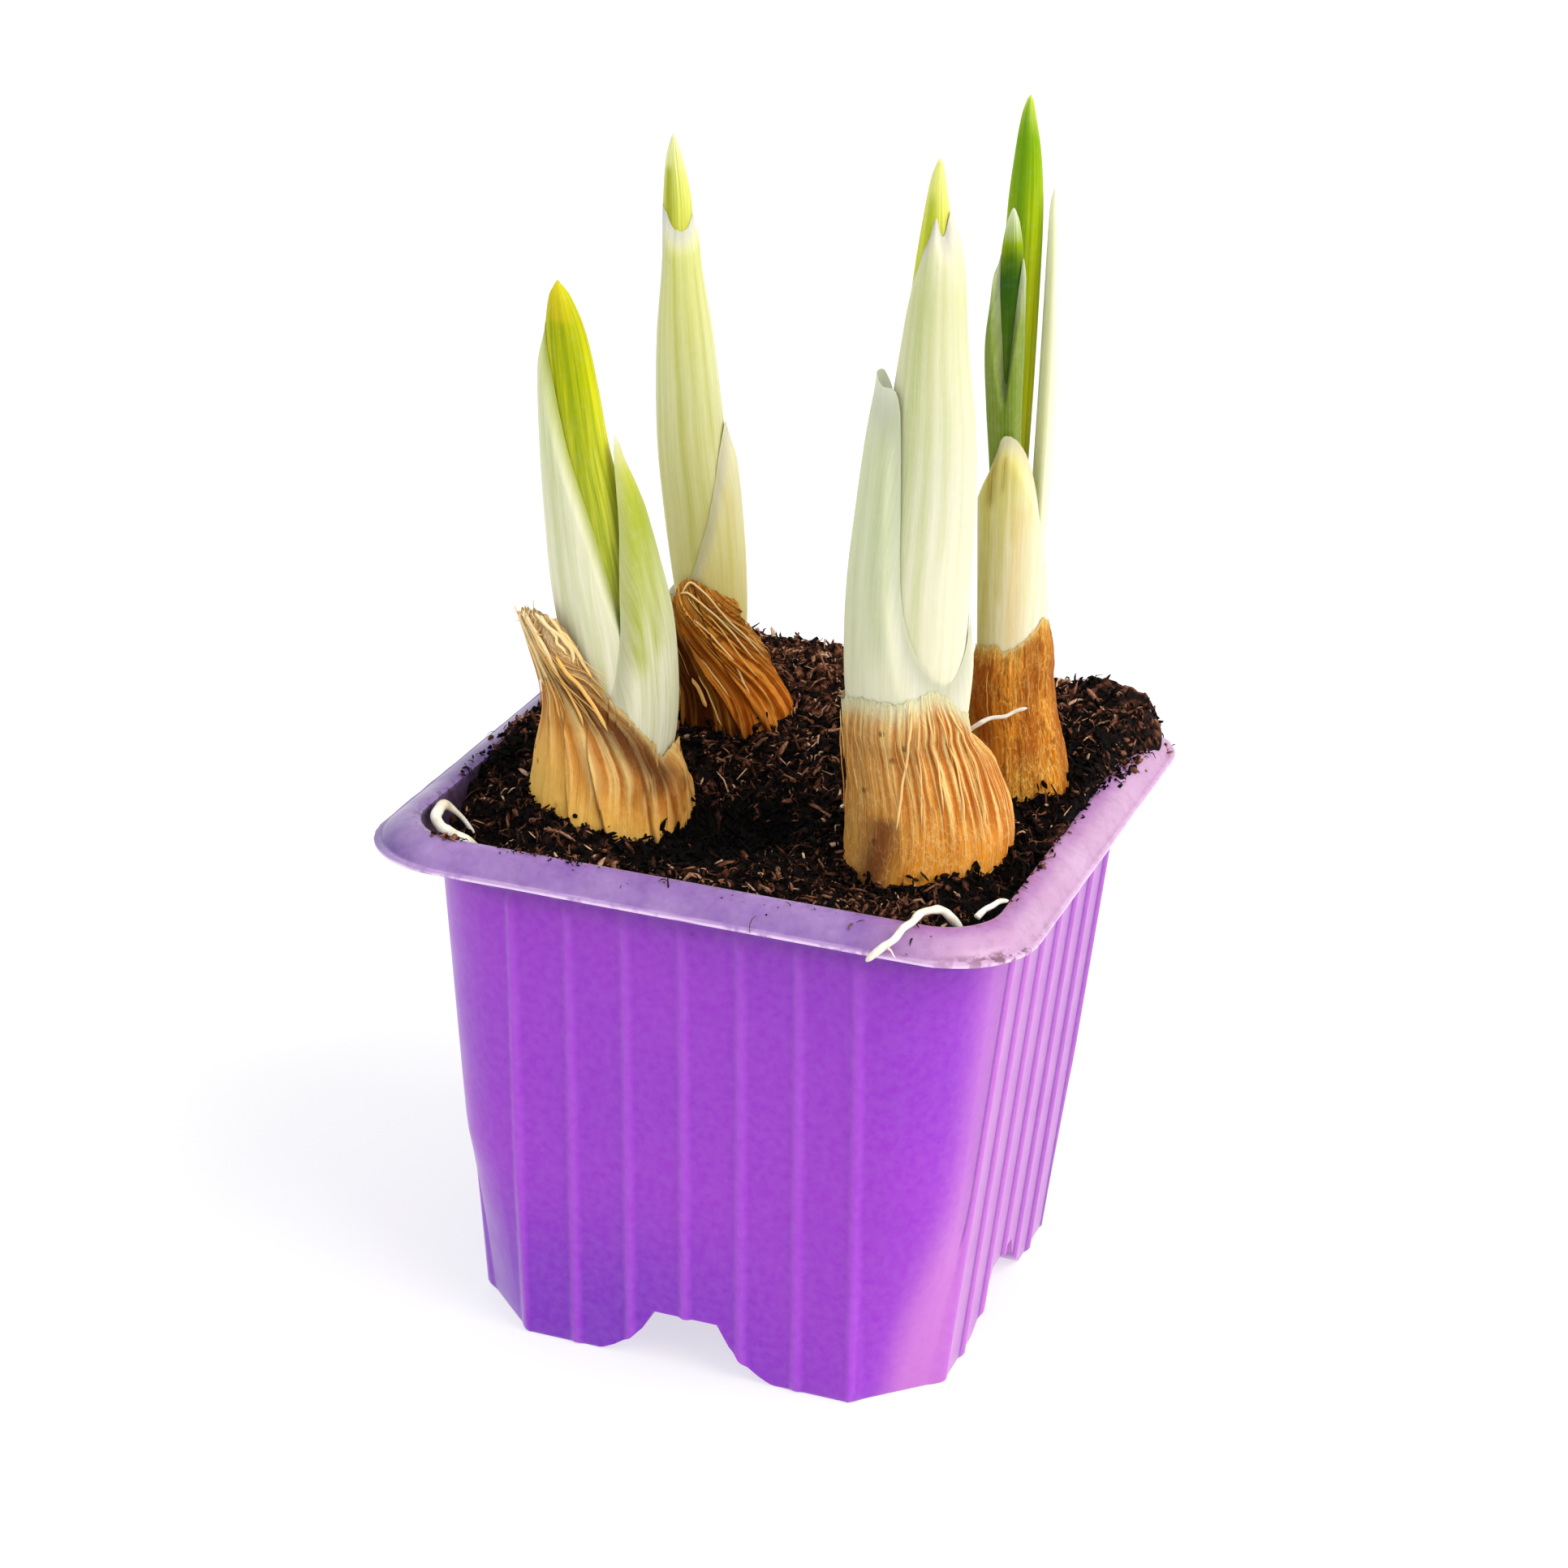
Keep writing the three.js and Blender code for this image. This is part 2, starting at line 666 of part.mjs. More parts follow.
const backRight = {
  name: "back_right",
  x: 29.6,
  y: 8.8,
  bulb: {
    seed: 53,
    cupZ: 88.5,
    fray: 0.7,
    rows: [
      [63, -5.5, 4.5, -5, 5],
      [68, -8.2, 7.6, -7.6, 7.4],
      [74, -7.9, 7, -7.4, 7],
      [80, -7.6, 5.9, -6.9, 6.6],
      [88, -7.6, 4.1, -6.3, 6.1],
      [93, -7.8, 3.4, -6.2, 6],
      [99, -8.2, 2.9, -6, 5.9],
    ],
    rim: [[-40, 95.6], [0, 98], [40, 97], [100, 95], [180, 94], [240, 93.4], [280, 94], [320, 95.6], [360, 98],
      [400, 97]],
  },
  leaves: [
    {
      name: "tall_leaf",
      kind: "leaf",
      tip: [-4.1, 2, 167.6],
      rows: [
        [88.9, -4.8, -1.3, 0.7, 3.6],
        [104, -5, -1.4, 0.6, 3.8],
        [118, -5.4, -1.3, 0.5, 3.8],
        [142, -6.2, -1.3, 0.4, 3.8],
        [153, -6.2, -1.5, 0.5, 3.7],
        [160, -5.7, -2.2, 0.8, 3.3],
        [165, -5.1, -3.2, 1.4, 2.7],
        [167, -4.5, -3.7, 1.7, 2.3],
      ],
    },
    {
      name: "short_leaf",
      kind: "leaf",
      tip: [-5.6, -1.9, 154],
      rows: [
        [88.9, -4.7, -2.5, -2.6, -0.7],
        [104, -5, -2.7, -2.9, -0.8],
        [118, -5.7, -3.1, -3.2, -0.9],
        [128, -6.4, -3.5, -3.5, -0.9],
        [140, -6.9, -3.7, -3.5, -0.8],
        [148, -6.9, -4, -3.2, -0.9],
        [152, -6.4, -4.7, -2.6, -1.2],
        [153.6, -5.9, -5.3, -2.1, -1.7],
      ],
    },
    {
      name: "pale_leaf",
      kind: "leaf",
      tip: [-0.3, 1.2, 156],
      rows: [
        [88.9, -0.8, 1, -1.8, 2.4],
        [104, -0.9, 1.3, -2, 2.7],
        [124, -0.9, 1.8, -2.2, 3],
        [140, -0.9, 1.6, -1.6, 2.8],
        [150, -0.9, 1, -0.6, 2.4],
        [154, -0.8, 0.4, 0.2, 2],
        [155.6, -0.5, 0, 0.8, 1.6],
      ],
    },
    {
      name: "split_sheath",
      kind: "sheath",
      rows: [
        [88.9, -5.7, -1.5, -3.5, 0.2],
        [104, -6.1, -1.6, -3.8, 0.2],
        [118, -6.8, -2, -4.2, 0.1],
        [128, -7.8, -2.4, -4.7, 0],
        [136, -8.4, -2.6, -4.8, 0],
        [142, -8.1, -2.8, -4.6, -0.2],
        [148.5, -7.8, -3.1, -4.2, -0.3],
      ],
      edge: [[-244, 100], [-225, 132], [-200, 144.5], [-175, 147.8], [-150, 143], [-125, 137], [-112, 132.5],
        [-96, 131.5], [-80, 136], [-55, 144], [-30, 147.6], [-10, 140], [0, 132], [8, 110]],
      thickness: 0.65,
    },
    {
      name: "outer_sheath",
      kind: "sheath",
      rows: [
        [88.9, -7.3, 2.3, -5.4, 5],
        [94, -7.6, 2.6, -5.7, 5.3],
        [104, -8.1, 2.9, -6.1, 5.6],
        [116, -8.7, 3, -6.3, 5.6],
        [124.8, -9, 2.9, -6.4, 5.4],
      ],
      edge: [[-188, 113], [-165, 117.5], [-140, 121.5], [-120, 124.4], [-104, 124.7], [-84, 122.4], [-62, 117],
        [-42, 110], [-22, 102], [0, 98.5], [30, 99], [60, 103], [100, 108], [140, 111], [164, 112.5]],
    },
  ],
};

const plants = [frontLeft, backLeft, frontRight, backRight];

function makePlant(plant) {
  addMesh(plant.name + "_bulb", makeBulb(plant), materials.tunic, plant);
  for (const piece of plant.leaves) {
    const shape =
      piece.kind === "leaf"
        ? rolledLeaf(piece.rows, piece.tip)
        : wrappedSheath(piece.rows, piece.edge, piece.thickness);
    addMesh(plant.name + "_" + piece.name, shape, materials[piece.kind], plant);
  }
}

// White roots that come up out of the peat, each a round tube along a hand-placed path.

const roots = [
  {
    name: "rim_root",
    radius: 0.65,
    path: [[35.2, -34.4, 71.4], [34.7, -35.4, 73.4], [33.8, -36.8, 75.2], [32.5, -38.4, 76.1],
      [31.3, -40.2, 76.1], [30.5, -42.3, 75.3], [29.8, -43.8, 74.1]],
  },
  {
    name: "corner_root",
    radius: 0.8,
    path: [[-33.6, -26.2, 68.6], [-36, -27.4, 71.8], [-37.4, -29.1, 74], [-37.6, -31.6, 74.3],
      [-37, -33.3, 73.6], [-35.6, -33.4, 72.4], [-33.4, -31.6, 70.4], [-32.2, -30.4, 69]],
  },
  {
    name: "front_root",
    radius: 0.45,
    path: [[8.8, -11.6, 69.8], [9.2, -10.2, 71.8], [9.7, -7.8, 73.2], [10.2, -5.4, 74.3], [10.7, -3.6, 75.3]],
  },
  {
    name: "back_root",
    radius: 0.4,
    path: [[25.4, -1.6, 73.4], [27.2, -3, 79.4], [29.2, -5, 85.4], [30.6, -6, 88.4], [31.4, -4, 89.2],
      [31.6, -1.4, 89]],
  },
];

function rootTube(root, grow, overrun) {
  const path = root.path.map(([x, y, z]) => new THREE.Vector3(x, y, z));
  if (overrun) {
    const last = path.length - 1;
    const first = path[0].clone().sub(path[1]).setLength(overrun).add(path[0]);
    const end = path[last].clone().sub(path[last - 1]).setLength(seatGap).add(path[last]);
    path.unshift(first);
    path.push(end);
  }
  const radius = root.radius + grow;
  const circle = new THREE.EllipseCurve(0, 0, radius, radius, 0, 2 * Math.PI);
  const section = new THREE.Shape(circle.getPoints(rootSides).slice(0, rootSides));
  return new THREE.ExtrudeGeometry(section, {
    steps: path.length * 3,
    extrudePath: new THREE.CatmullRomCurve3(path),
    bevelEnabled: false,
  });
}

// The peat: a rough heap that follows the inside of the pot, with a hole for every bulb and root.

function soilHeight(x, y, random) {
  const slope = (y / soilSlopeReach + 1) / 2;
  let z = lerp(soilFrontZ, soilBackZ, Math.min(Math.max(slope, 0), 1));
  for (const mound of mounds) {
    const distance = (x - mound.x) ** 2 + (y - mound.y) ** 2;
    z += mound.rise * Math.exp(-distance / mound.spread);
  }
  z += soilRoughness * (2 * random() - 1);
  const inward = Math.max(mouthHalf - Math.max(Math.abs(x), Math.abs(y)), 0);
  return Math.min(z, crestZ + soilEdgeRise + soilEdgeSlope * inward); // it falls away to the rim
}

function makeSoilTop() {
  const random = seededRandom(5);
  const size = soilCells + 1;
  const points = [];
  for (let j = 0; j < size; j += 1) {
    for (let i = 0; i < size; i += 1) {
      const x = lerp(-soilReach, soilReach, i / soilCells) + (random() - 0.5);
      const y = lerp(-soilReach, soilReach, j / soilCells) + (random() - 0.5);
      points.push(new THREE.Vector3(x, y, soilHeight(x, y, random)));
    }
  }
  const faces = [];
  const quad = (a, b, c, d) => faces.push(a, b, c, a, c, d);
  for (let j = 0; j < soilCells; j += 1) {
    for (let i = 0; i < soilCells; i += 1) {
      const a = j * size + i;
      quad(a, a + 1, a + size + 1, a + size);
    }
  }
  const edge = [];
  for (let k = 0; k < soilCells; k += 1) edge.push(k);
  for (let k = 0; k < soilCells; k += 1) edge.push(k * size + soilCells);
  for (let k = 0; k < soilCells; k += 1) edge.push(soilCells * size + soilCells - k);
  for (let k = 0; k < soilCells; k += 1) edge.push((soilCells - k) * size);
  const below = points.length;
  for (const a of edge) points.push(new THREE.Vector3(points[a].x, points[a].y, belowFoot));
  const centre = points.length;
  points.push(new THREE.Vector3(0, 0, belowFoot));
  edge.forEach((a, k) => {
    const next = (k + 1) % edge.length;
    quad(a, below + k, below + next, edge[next]);
    faces.push(below + k, centre, below + next);
  });
  return geometryOf(points, faces);
}

function makeSoil() {
  let solid = toSolid(makeInside(-seatGap)).subtract(makeCross(wall + seatGap));
  solid = solid.intersect(toSolid(makeSoilTop()));
  for (const plant of plants) solid = solid.subtract(makeSocket(plant));
  for (const root of roots) solid = solid.subtract(toSolid(rootTube(root, seatGap, rootEntry)));
  const pieces = solid.decompose().sort((a, b) => b.volume() - a.volume());
  addMesh("soil", toGeometry(pieces[0]), materials.soil); // loose scraps between holes are dropped
}

makePot();
makeSoil();
plants.forEach(makePlant);
roots.forEach((root) => addMesh(root.name, rootTube(root, 0, 0), materials.root));

export default group;
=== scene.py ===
import math

import bmesh
import bpy
import numpy as np
from mathutils import Matrix, Vector


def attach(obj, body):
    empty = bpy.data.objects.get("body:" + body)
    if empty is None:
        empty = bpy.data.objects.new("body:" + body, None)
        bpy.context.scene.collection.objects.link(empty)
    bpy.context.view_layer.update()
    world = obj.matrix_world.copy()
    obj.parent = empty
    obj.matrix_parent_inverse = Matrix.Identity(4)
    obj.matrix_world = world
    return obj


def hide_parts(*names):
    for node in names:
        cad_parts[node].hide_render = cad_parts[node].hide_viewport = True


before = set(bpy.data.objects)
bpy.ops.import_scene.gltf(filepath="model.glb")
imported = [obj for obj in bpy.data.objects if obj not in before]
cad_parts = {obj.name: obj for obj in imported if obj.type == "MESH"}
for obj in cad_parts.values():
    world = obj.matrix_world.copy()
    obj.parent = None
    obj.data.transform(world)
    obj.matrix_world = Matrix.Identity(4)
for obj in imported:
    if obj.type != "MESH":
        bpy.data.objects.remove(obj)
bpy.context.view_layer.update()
print("frame loaded:", len(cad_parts), "nodes")

# A square purple pot of four sprouting dwarf iris bulbs in dark peat. Tables and shapes are in
# millimetres and every mesh is scaled to metres as it is made. Front of the pot faces -Y.
mm = 0.001
paintShare = 0.84  # colours are given as they look when lit, so this takes out what the light adds


def rgb(red, green, blue):
    # a screen colour, 0 to 255, as Blender's linear colour
    linear = [((c / 255 + 0.055) / 1.055) ** 2.4 if c > 10 else c / 255 / 12.92 for c in (red, green, blue)]
    return (*(c * paintShare for c in linear), 1.0)


def shades(*stops):
    # colours along a ramp, each a place from 0 to 1 and a screen colour
    return [(place, rgb(*colour)) for place, *colour in stops]


def soften(t):
    t = np.clip(t, 0, 1)
    return t * t * (3 - 2 * t)


def blend(a, b, t):
    return a + (b - a) * t


def bell(t):
    # 1 in the middle and nearly nothing from 2 on
    return np.exp(-(t**2))


def spotAt(x, y, middleX, middleY, spread):
    return np.exp(-((x - middleX) ** 2 + (y - middleY) ** 2) / spread)


def angleFrom(degrees, middle):
    # how far round from the middle, from -180 to 180
    return (degrees - middle + 180) % 360 - 180


def beyond(x, y, start):
    # how far out from a square's straight part, round its corners
    return np.hypot(np.maximum(np.abs(x) - start, 0), np.maximum(np.abs(y) - start, 0))


def stack(*parts):
    return np.stack(np.broadcast_arrays(*parts), -1)


def around(angle, radius, z):
    return stack(radius * np.cos(angle), radius * np.sin(angle), z)


def readRows(rows, keys):
    # smooth reading of a drawn outline: rows of [key, value, value, ...], for many keys at once
    table = np.array(rows, float)
    places, values = table[:, 0], table[:, 1:]
    last = len(rows) - 1
    key = np.clip(np.asarray(keys, float), places[0], places[last])
    i = np.clip(np.searchsorted(places, key, side="left") - 1, 0, last - 1)
    before, after = np.maximum(i - 1, 0), np.minimum(i + 2, last)
    span = places[i + 1] - places[i]
    t = ((key - places[i]) / span)[..., None]
    start, end = values[i], values[i + 1]
    slopeIn = (end - values[before]) * (span / (places[i + 1] - places[before]))[..., None]
    slopeOut = (values[after] - start) * (span / (places[after] - places[i]))[..., None]
    t2, t3 = t * t, t * t * t
    first = start * (2 * t3 - 3 * t2 + 1) + slopeIn * (t3 - 2 * t2 + t)
    return first + end * (3 * t2 - 2 * t3) + slopeOut * (t3 - t2)


noiseTable = np.random.default_rng(7).permutation(256)


def cellNoise(points):
    # smooth noise from -1 to 1 over unit cells
    cell = np.floor(points).astype(int)
    t = soften(points - cell)
    total = 0
    for dx, dy, dz in np.ndindex(2, 2, 2):
        pick = noiseTable[(cell[..., 0] + dx) & 255]
        pick = noiseTable[(pick + cell[..., 1] + dy) & 255]
        pick = noiseTable[(pick + cell[..., 2] + dz) & 255]
        share = np.where(dx, t[..., 0], 1 - t[..., 0]) * np.where(dy, t[..., 1], 1 - t[..., 1])
        total = total + pick * share * np.where(dz, t[..., 2], 1 - t[..., 2])
    return total / 127.5 - 1


def layeredNoise(points, size, layers=4, gain=0.5):
    total, weight, weights = 0, 1.0, 0
    for k in range(layers):
        total = total + weight * cellNoise(points / size * 2**k + 31.7 * k)
        weights += weight
        weight *= gain
    return total / weights


# Mesh making. A shape is its points, its faces and its marks, which are values kept for the materials.


def gridFaces(rows, columns, closed=False):
    r, c = np.meshgrid(np.arange(rows - 1), np.arange(columns if closed else columns - 1), indexing="ij")
    a, b = r * columns + c, r * columns + (c + 1) % columns
    return np.stack([a, b, b + columns, a + columns], -1).reshape(-1, 4)


def fanFaces(ring, centre, turned=False):
    following = np.roll(ring, -1)
    order = [following, ring] if turned else [ring, following]
    return np.stack([*order, np.full(len(ring), centre)], -1)


def loftShape(rings, marks=None):
    # skin over closed rings of equal count, with a fan at each end
    rings = np.asarray(rings, float)
    rows, columns = rings.shape[:2]
    points = np.concatenate([rings.reshape(-1, 3), rings[:1].mean(1), rings[-1:].mean(1)])
    low, high = rows * columns, rows * columns + 1
    faces = gridFaces(rows, columns, True).tolist()
    faces += fanFaces(np.arange(columns), low, True).tolist()
    faces += fanFaces(np.arange(columns) + (rows - 1) * columns, high).tolist()
    full = {}
    for name, value in (marks or {}).items():
        value = np.asarray(value, float)
        flat = value.reshape(rows * columns, -1)
        ends = [value[0].reshape(columns, -1).mean(0), value[-1].reshape(columns, -1).mean(0)]
        full[name] = np.concatenate([flat, ends]) if value.ndim == 3 else np.concatenate([flat, ends])[:, 0]
    return {"points": points, "faces": faces, "marks": full}


def joinShapes(shapes):
    faces, offset = [], 0
    for shape in shapes:
        faces += [[v + offset for v in face] for face in shape["faces"]]
        offset += len(shape["points"])
    marks = {name: np.concatenate([s["marks"][name] for s in shapes]) for name in shapes[0]["marks"]}
    return {"points": np.concatenate([s["points"] for s in shapes]), "faces": faces, "marks": marks}


def addMarks(mesh, marks):
    for name, values in marks.items():
        values = np.asarray(values, np.float32)
        vector = values.ndim == 2
        layer = mesh.attributes.new(name, "FLOAT_VECTOR" if vector else "FLOAT", "POINT")
        layer.data.foreach_set("vector" if vector else "value", values.ravel())


def meshFrom(name, shape):
    mesh = bpy.data.meshes.new(name)
    mesh.from_pydata((shape["points"] * mm).tolist(), [], shape["faces"])
    addMarks(mesh, shape["marks"])
    return mesh


def inScene(name, data):
    thing = bpy.data.objects.new(name, data)
    bpy.context.scene.collection.objects.link(thing)
    return thing


def placePiece(name, mesh, material, slotName, replaced=(), sharpAngle=None):
    mesh.polygons.foreach_set("use_smooth", np.ones(len(mesh.polygons), bool))
    if sharpAngle:
        mesh.set_sharp_from_angle(angle=math.radians(sharpAngle))
    mesh.materials.clear()
    mesh.materials.append(material)
    mesh.update()
    piece = inScene(name, mesh)
    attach(piece, "root")
    if replaced:
        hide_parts(*replaced)


def makePiece(name, shape, *rest):
    placePiece(name, meshFrom(name, shape), *rest)


def nodeName(name):
    # frontLeftLeaf as front_left_leaf
    return "".join("_" + letter.lower() if letter.isupper() else letter for letter in name)


def carve(name, base, tools):
    # the base shape with each (operation, shape or mesh) applied to it in turn
    body = inScene("body", meshFrom("body", base))
    others = []
    for operation, other in tools:
        others.append(inScene("tool", meshFrom("tool", other) if isinstance(other, dict) else other))
        cut = body.modifiers.new(operation, "BOOLEAN")
        cut.operation, cut.solver, cut.object = operation, "MANIFOLD", others[-1]
    bpy.context.view_layer.update()
    done = bpy.data.meshes.new_from_object(body.evaluated_get(bpy.context.evaluated_depsgraph_get()))
    done.name = name
    for thing in [body, *others]:
        bpy.data.objects.remove(thing)
    return done


def pointsOf(mesh):
    points = np.zeros(len(mesh.vertices) * 3, np.float32)
    mesh.vertices.foreach_get("co", points)
    return points.reshape(-1, 3).astype(float) / mm


class Paint:
    # A material as it is made, and the colour laid on so far. A value is a number or a colour, the
    # output of a node, or the name of a mark.
    def __init__(self, name, shader):
        self.material = bpy.data.materials.new(name)
        self.material.use_nodes = True
        self.tree = self.material.node_tree
        self.tree.nodes.clear()
        self.surface = self.add("BsdfPrincipled", shader)
        self.add("OutputMaterial", {"Surface": self.surface.outputs["BSDF"]})
        self.place = self.add("TexCoord").outputs["Object"]

    def put(self, socket, value):
        value = self.mark(value) if isinstance(value, str) else value
        if isinstance(value, bpy.types.NodeSocket):
            self.tree.links.new(value, socket)
        else:
            socket.default_value = value

    def add(self, kind, inputs=None, **settings):
        node = self.tree.nodes.new("ShaderNode" + kind)
        for key, value in settings.items():
            setattr(node, key, value)
        for key, value in (inputs or {}).items():
            self.put(node.inputs[key], value)
        return node

    def mark(self, name, output="Fac"):
        return self.add("Attribute", attribute_name=name).outputs[output]

    def noise(self, scale, detail=3.0, roughness=0.5, at=None):
        inputs = {"Vector": at or self.place, "Scale": scale, "Detail": detail, "Roughness": roughness}
        return self.add("TexNoise", inputs).outputs["Fac"]

    def spots(self, scale):
        return self.add("TexVoronoi", {"Vector": self.place, "Scale": scale}).outputs["Distance"]

    def ramp(self, value, stops):
        node = self.add("ValToRGB", {"Fac": value})
        elements = node.color_ramp.elements
        while len(elements) < len(stops):
            elements.new(1.0)
        for element, (place, colour) in zip(elements, stops):
            element.position, element.color = place, colour
        return node.outputs["Color"]

    def fit(self, value, low, high, toLow=0.0, toHigh=1.0):
        # the range from low to high, made to run from toLow to toHigh
        inputs = {"Value": value, "From Min": low, "From Max": high, "To Min": toLow, "To Max": toHigh}
        return self.add("MapRange", inputs).outputs["Result"]

    def plus(self, a, b):
        return self.add("Math", {0: a, 1: b}, operation="ADD").outputs[0]

    def times(self, a, b):
        return self.add("Math", {0: a, 1: b}, operation="MULTIPLY").outputs[0]

    def mix(self, share, a, b):
        return self.add("Mix", {0: share, 6: a, 7: b}, data_type="RGBA").outputs[2]

    def over(self, colour, share, *others):
        # lays a colour over the rest, as far as all the shares allow
        for other in others:
            share = self.times(share, other)
        self.colour = self.mix(share, self.colour, colour)

    def bump(self, height, strength, distance, under=None):
        inputs = {"Height": height, "Strength": strength, "Distance": distance}
        if under:
            inputs["Normal"] = under
        return self.add("Bump", inputs).outputs["Normal"]

    def finished(self, **linked):
        self.put(self.surface.inputs["Base Color"], self.colour)
        for key, value in linked.items():
            self.put(self.surface.inputs[key.title()], value)
        return self.material


# Camera, light and floor.
view = {
    "focalPixels": 4618.95,
    "imagePixels": 1932,
    "sensor": 36.0,
    "place": (151.645, -443.81, 266.32),
    "heading": 18.959,
    "lookDown": 22.438,
    "roll": 2.334,
}

cameraData = bpy.data.cameras.new("camera")
cameraData.sensor_width = view["sensor"]
cameraData.lens = view["sensor"] * view["focalPixels"] / view["imagePixels"]
cameraData.clip_start = 0.01
camera = inScene("camera", cameraData)
camera.matrix_world = (
    Matrix.Translation([c * mm for c in view["place"]])
    @ Matrix.Rotation(math.radians(view["heading"]), 4, "Z")
    @ Matrix.Rotation(math.radians(90 - view["lookDown"]), 4, "X")
    @ Matrix.Rotation(math.radians(view["roll"]), 4, "Z")
)
bpy.context.scene.camera = camera

studio = {
    "worldColour": (0.94, 0.97, 1.0, 1.0),
    "worldStrength": 0.93,
    # lamps: the way to each, in degrees from +X and up, its spread, strength and colour
    "lamps": {
        "key": (-12.0, 41.0, 46.0, 2.5, (1.0, 0.965, 0.9)),
        "fill": (-112.0, 38.0, 60.0, 0.3, (0.9, 0.95, 1.0)),
    },
    "floorHalf": 4.0,
    "floor": {
        "Base Color": (0.34, 0.34, 0.34, 1.0), "Roughness": 0.9,
        "Emission Color": (1.0, 1.0, 1.0, 1.0), "Emission Strength": 0.64,  # lit, so the shadow is faint
    },
}

world = bpy.data.worlds.new("studio")
world.use_nodes = True
worldNode = world.node_tree.nodes["Background"]
worldNode.inputs["Color"].default_value = studio["worldColour"]
worldNode.inputs["Strength"].default_value = studio["worldStrength"]
bpy.context.scene.world = world
bpy.context.scene.view_settings.view_transform = "Standard"

for name, (heading, height, spread, strength, colour) in studio["lamps"].items():
    lamp = bpy.data.lights.new(name, "SUN")
    lamp.angle, lamp.energy, lamp.color = math.radians(spread), strength, colour
    out, up = math.cos(math.radians(height)), math.sin(math.radians(height))
    toward = Vector((out * math.cos(math.radians(heading)), out * math.sin(math.radians(heading)), up))
    turned = toward.to_track_quat("Z", "Y").to_matrix().to_4x4()
    inScene(name, lamp).matrix_world = Matrix.Translation(toward) @ turned

half = studio["floorHalf"]
floorMesh = bpy.data.meshes.new("floor")
corners = [(-half, -half, 0), (half, -half, 0), (half, half, 0), (-half, half, 0)]
floorMesh.from_pydata(corners, [], [(0, 1, 2, 3)])
floorMesh.materials.append(Paint("paleFloor", studio["floor"]).material)
floor = inScene("floor", floorMesh)
print("camera, light and floor are set")

# The pot.
pot = {
    "baseSide": 66.8,
    "wallTopSide": 79.0,
    "wallTopZ": 69.0,
    "crestZ": 74.5,
    "wall": 1.1,
    "cornerStart": 23.0,  # the flat of each side runs this far from its middle
    "cornerMargin": 0.22,
    "cutTopZ": 28.0,  # below this the corners turn from round to cut straight
    "mouthHalf": 39.4,
    "mouthCorner": 8,
    "rimHalf": 45.0,
    "lipZ": 71.5,
    "flatSteps": 24,
    "ribCount": 7,
    "ribPitch": 7.9,
    "ribWidth": 2.2,
    "ribSteps": (-0.62, -0.5, -0.42, -0.33, -0.22, -0.1, 0.1, 0.22, 0.33, 0.42, 0.5, 0.62),
    "cornerSteps": 18,
    "channelZ": 8.0,
    "channelProfile": ((12.6, 0), (10.4, 1.2), (7.8, 3.1), (6.2, 4.9), (4.5, 8.0)),  # half width, z
    "drainRadius": 3.0,
    "drainReach": 18.0,
    "drainSteps": 32,
    "lipRagged": 0.16,
    # levels of the rim: z, half side, corner radius
    "rimProfile": (
        (68.4, 39.4, 14), (69.4, 40, 12.6), (70.2, 40.8, 11.5), (70.65, 42.1, 11.7), (70.95, 43.6, 12),
        (71.15, 44.6, 12), (71.3, 44.9, 12.1), (71.55, 45, 12.1), (71.8, 44.95, 12.1), (71.95, 44.7, 12),
        (72, 44.4, 11.9), (72.05, 44.2, 11.8), (72.25, 44, 11.6), (72.7, 43.75, 11.4), (73.1, 43.35, 11.2),
        (73.55, 42.75, 10.7), (73.95, 42.05, 10.2), (74.25, 41.3, 9.5), (74.43, 40.7, 9), (74.5, 40.2, 8.5),
        (74.43, 39.8, 8.2), (74.2, 39.5, 8),
    ),
    "colour": rgb(156, 36, 202), "shade": rgb(136, 30, 196), "lowShadeColour": rgb(110, 14, 184),
    "litSideColour": rgb(196, 106, 206), "ribShadeLine": rgb(118, 36, 158), "ribHighlightColour": rgb(176, 70, 218),
    "rimShadeToLightColours": shades((0, 79, 57, 132), (0.16, 132, 88, 166), (0.76, 132, 88, 166),
                         (0.92, 192, 144, 184)),  # from painted shade on the left side to painted light on the right
    "rimInnerShade": rgb(160, 88, 166), "lipColour": rgb(244, 216, 246), "lipGrime": rgb(96, 18, 50),
    "insideShadeColour": rgb(24, 5, 34), "underRimShadeColour": rgb(92, 18, 140), "bloomColour": rgb(225, 190, 245),
    "grimeColour": rgb(60, 34, 48), "speckColour": rgb(88, 30, 96),
}


def wallHalf(z):
    return blend(pot["baseSide"], pot["wallTopSide"], z / pot["wallTopZ"]) / 2


def cornerCut(z):
    return min(max(1 - z / pot["cutTopZ"], 0), 1)


def ribShare(t):
    # how far a rib stands out at a share of its width from its middle
    return soften((0.54 - np.abs(t)) / 0.5)


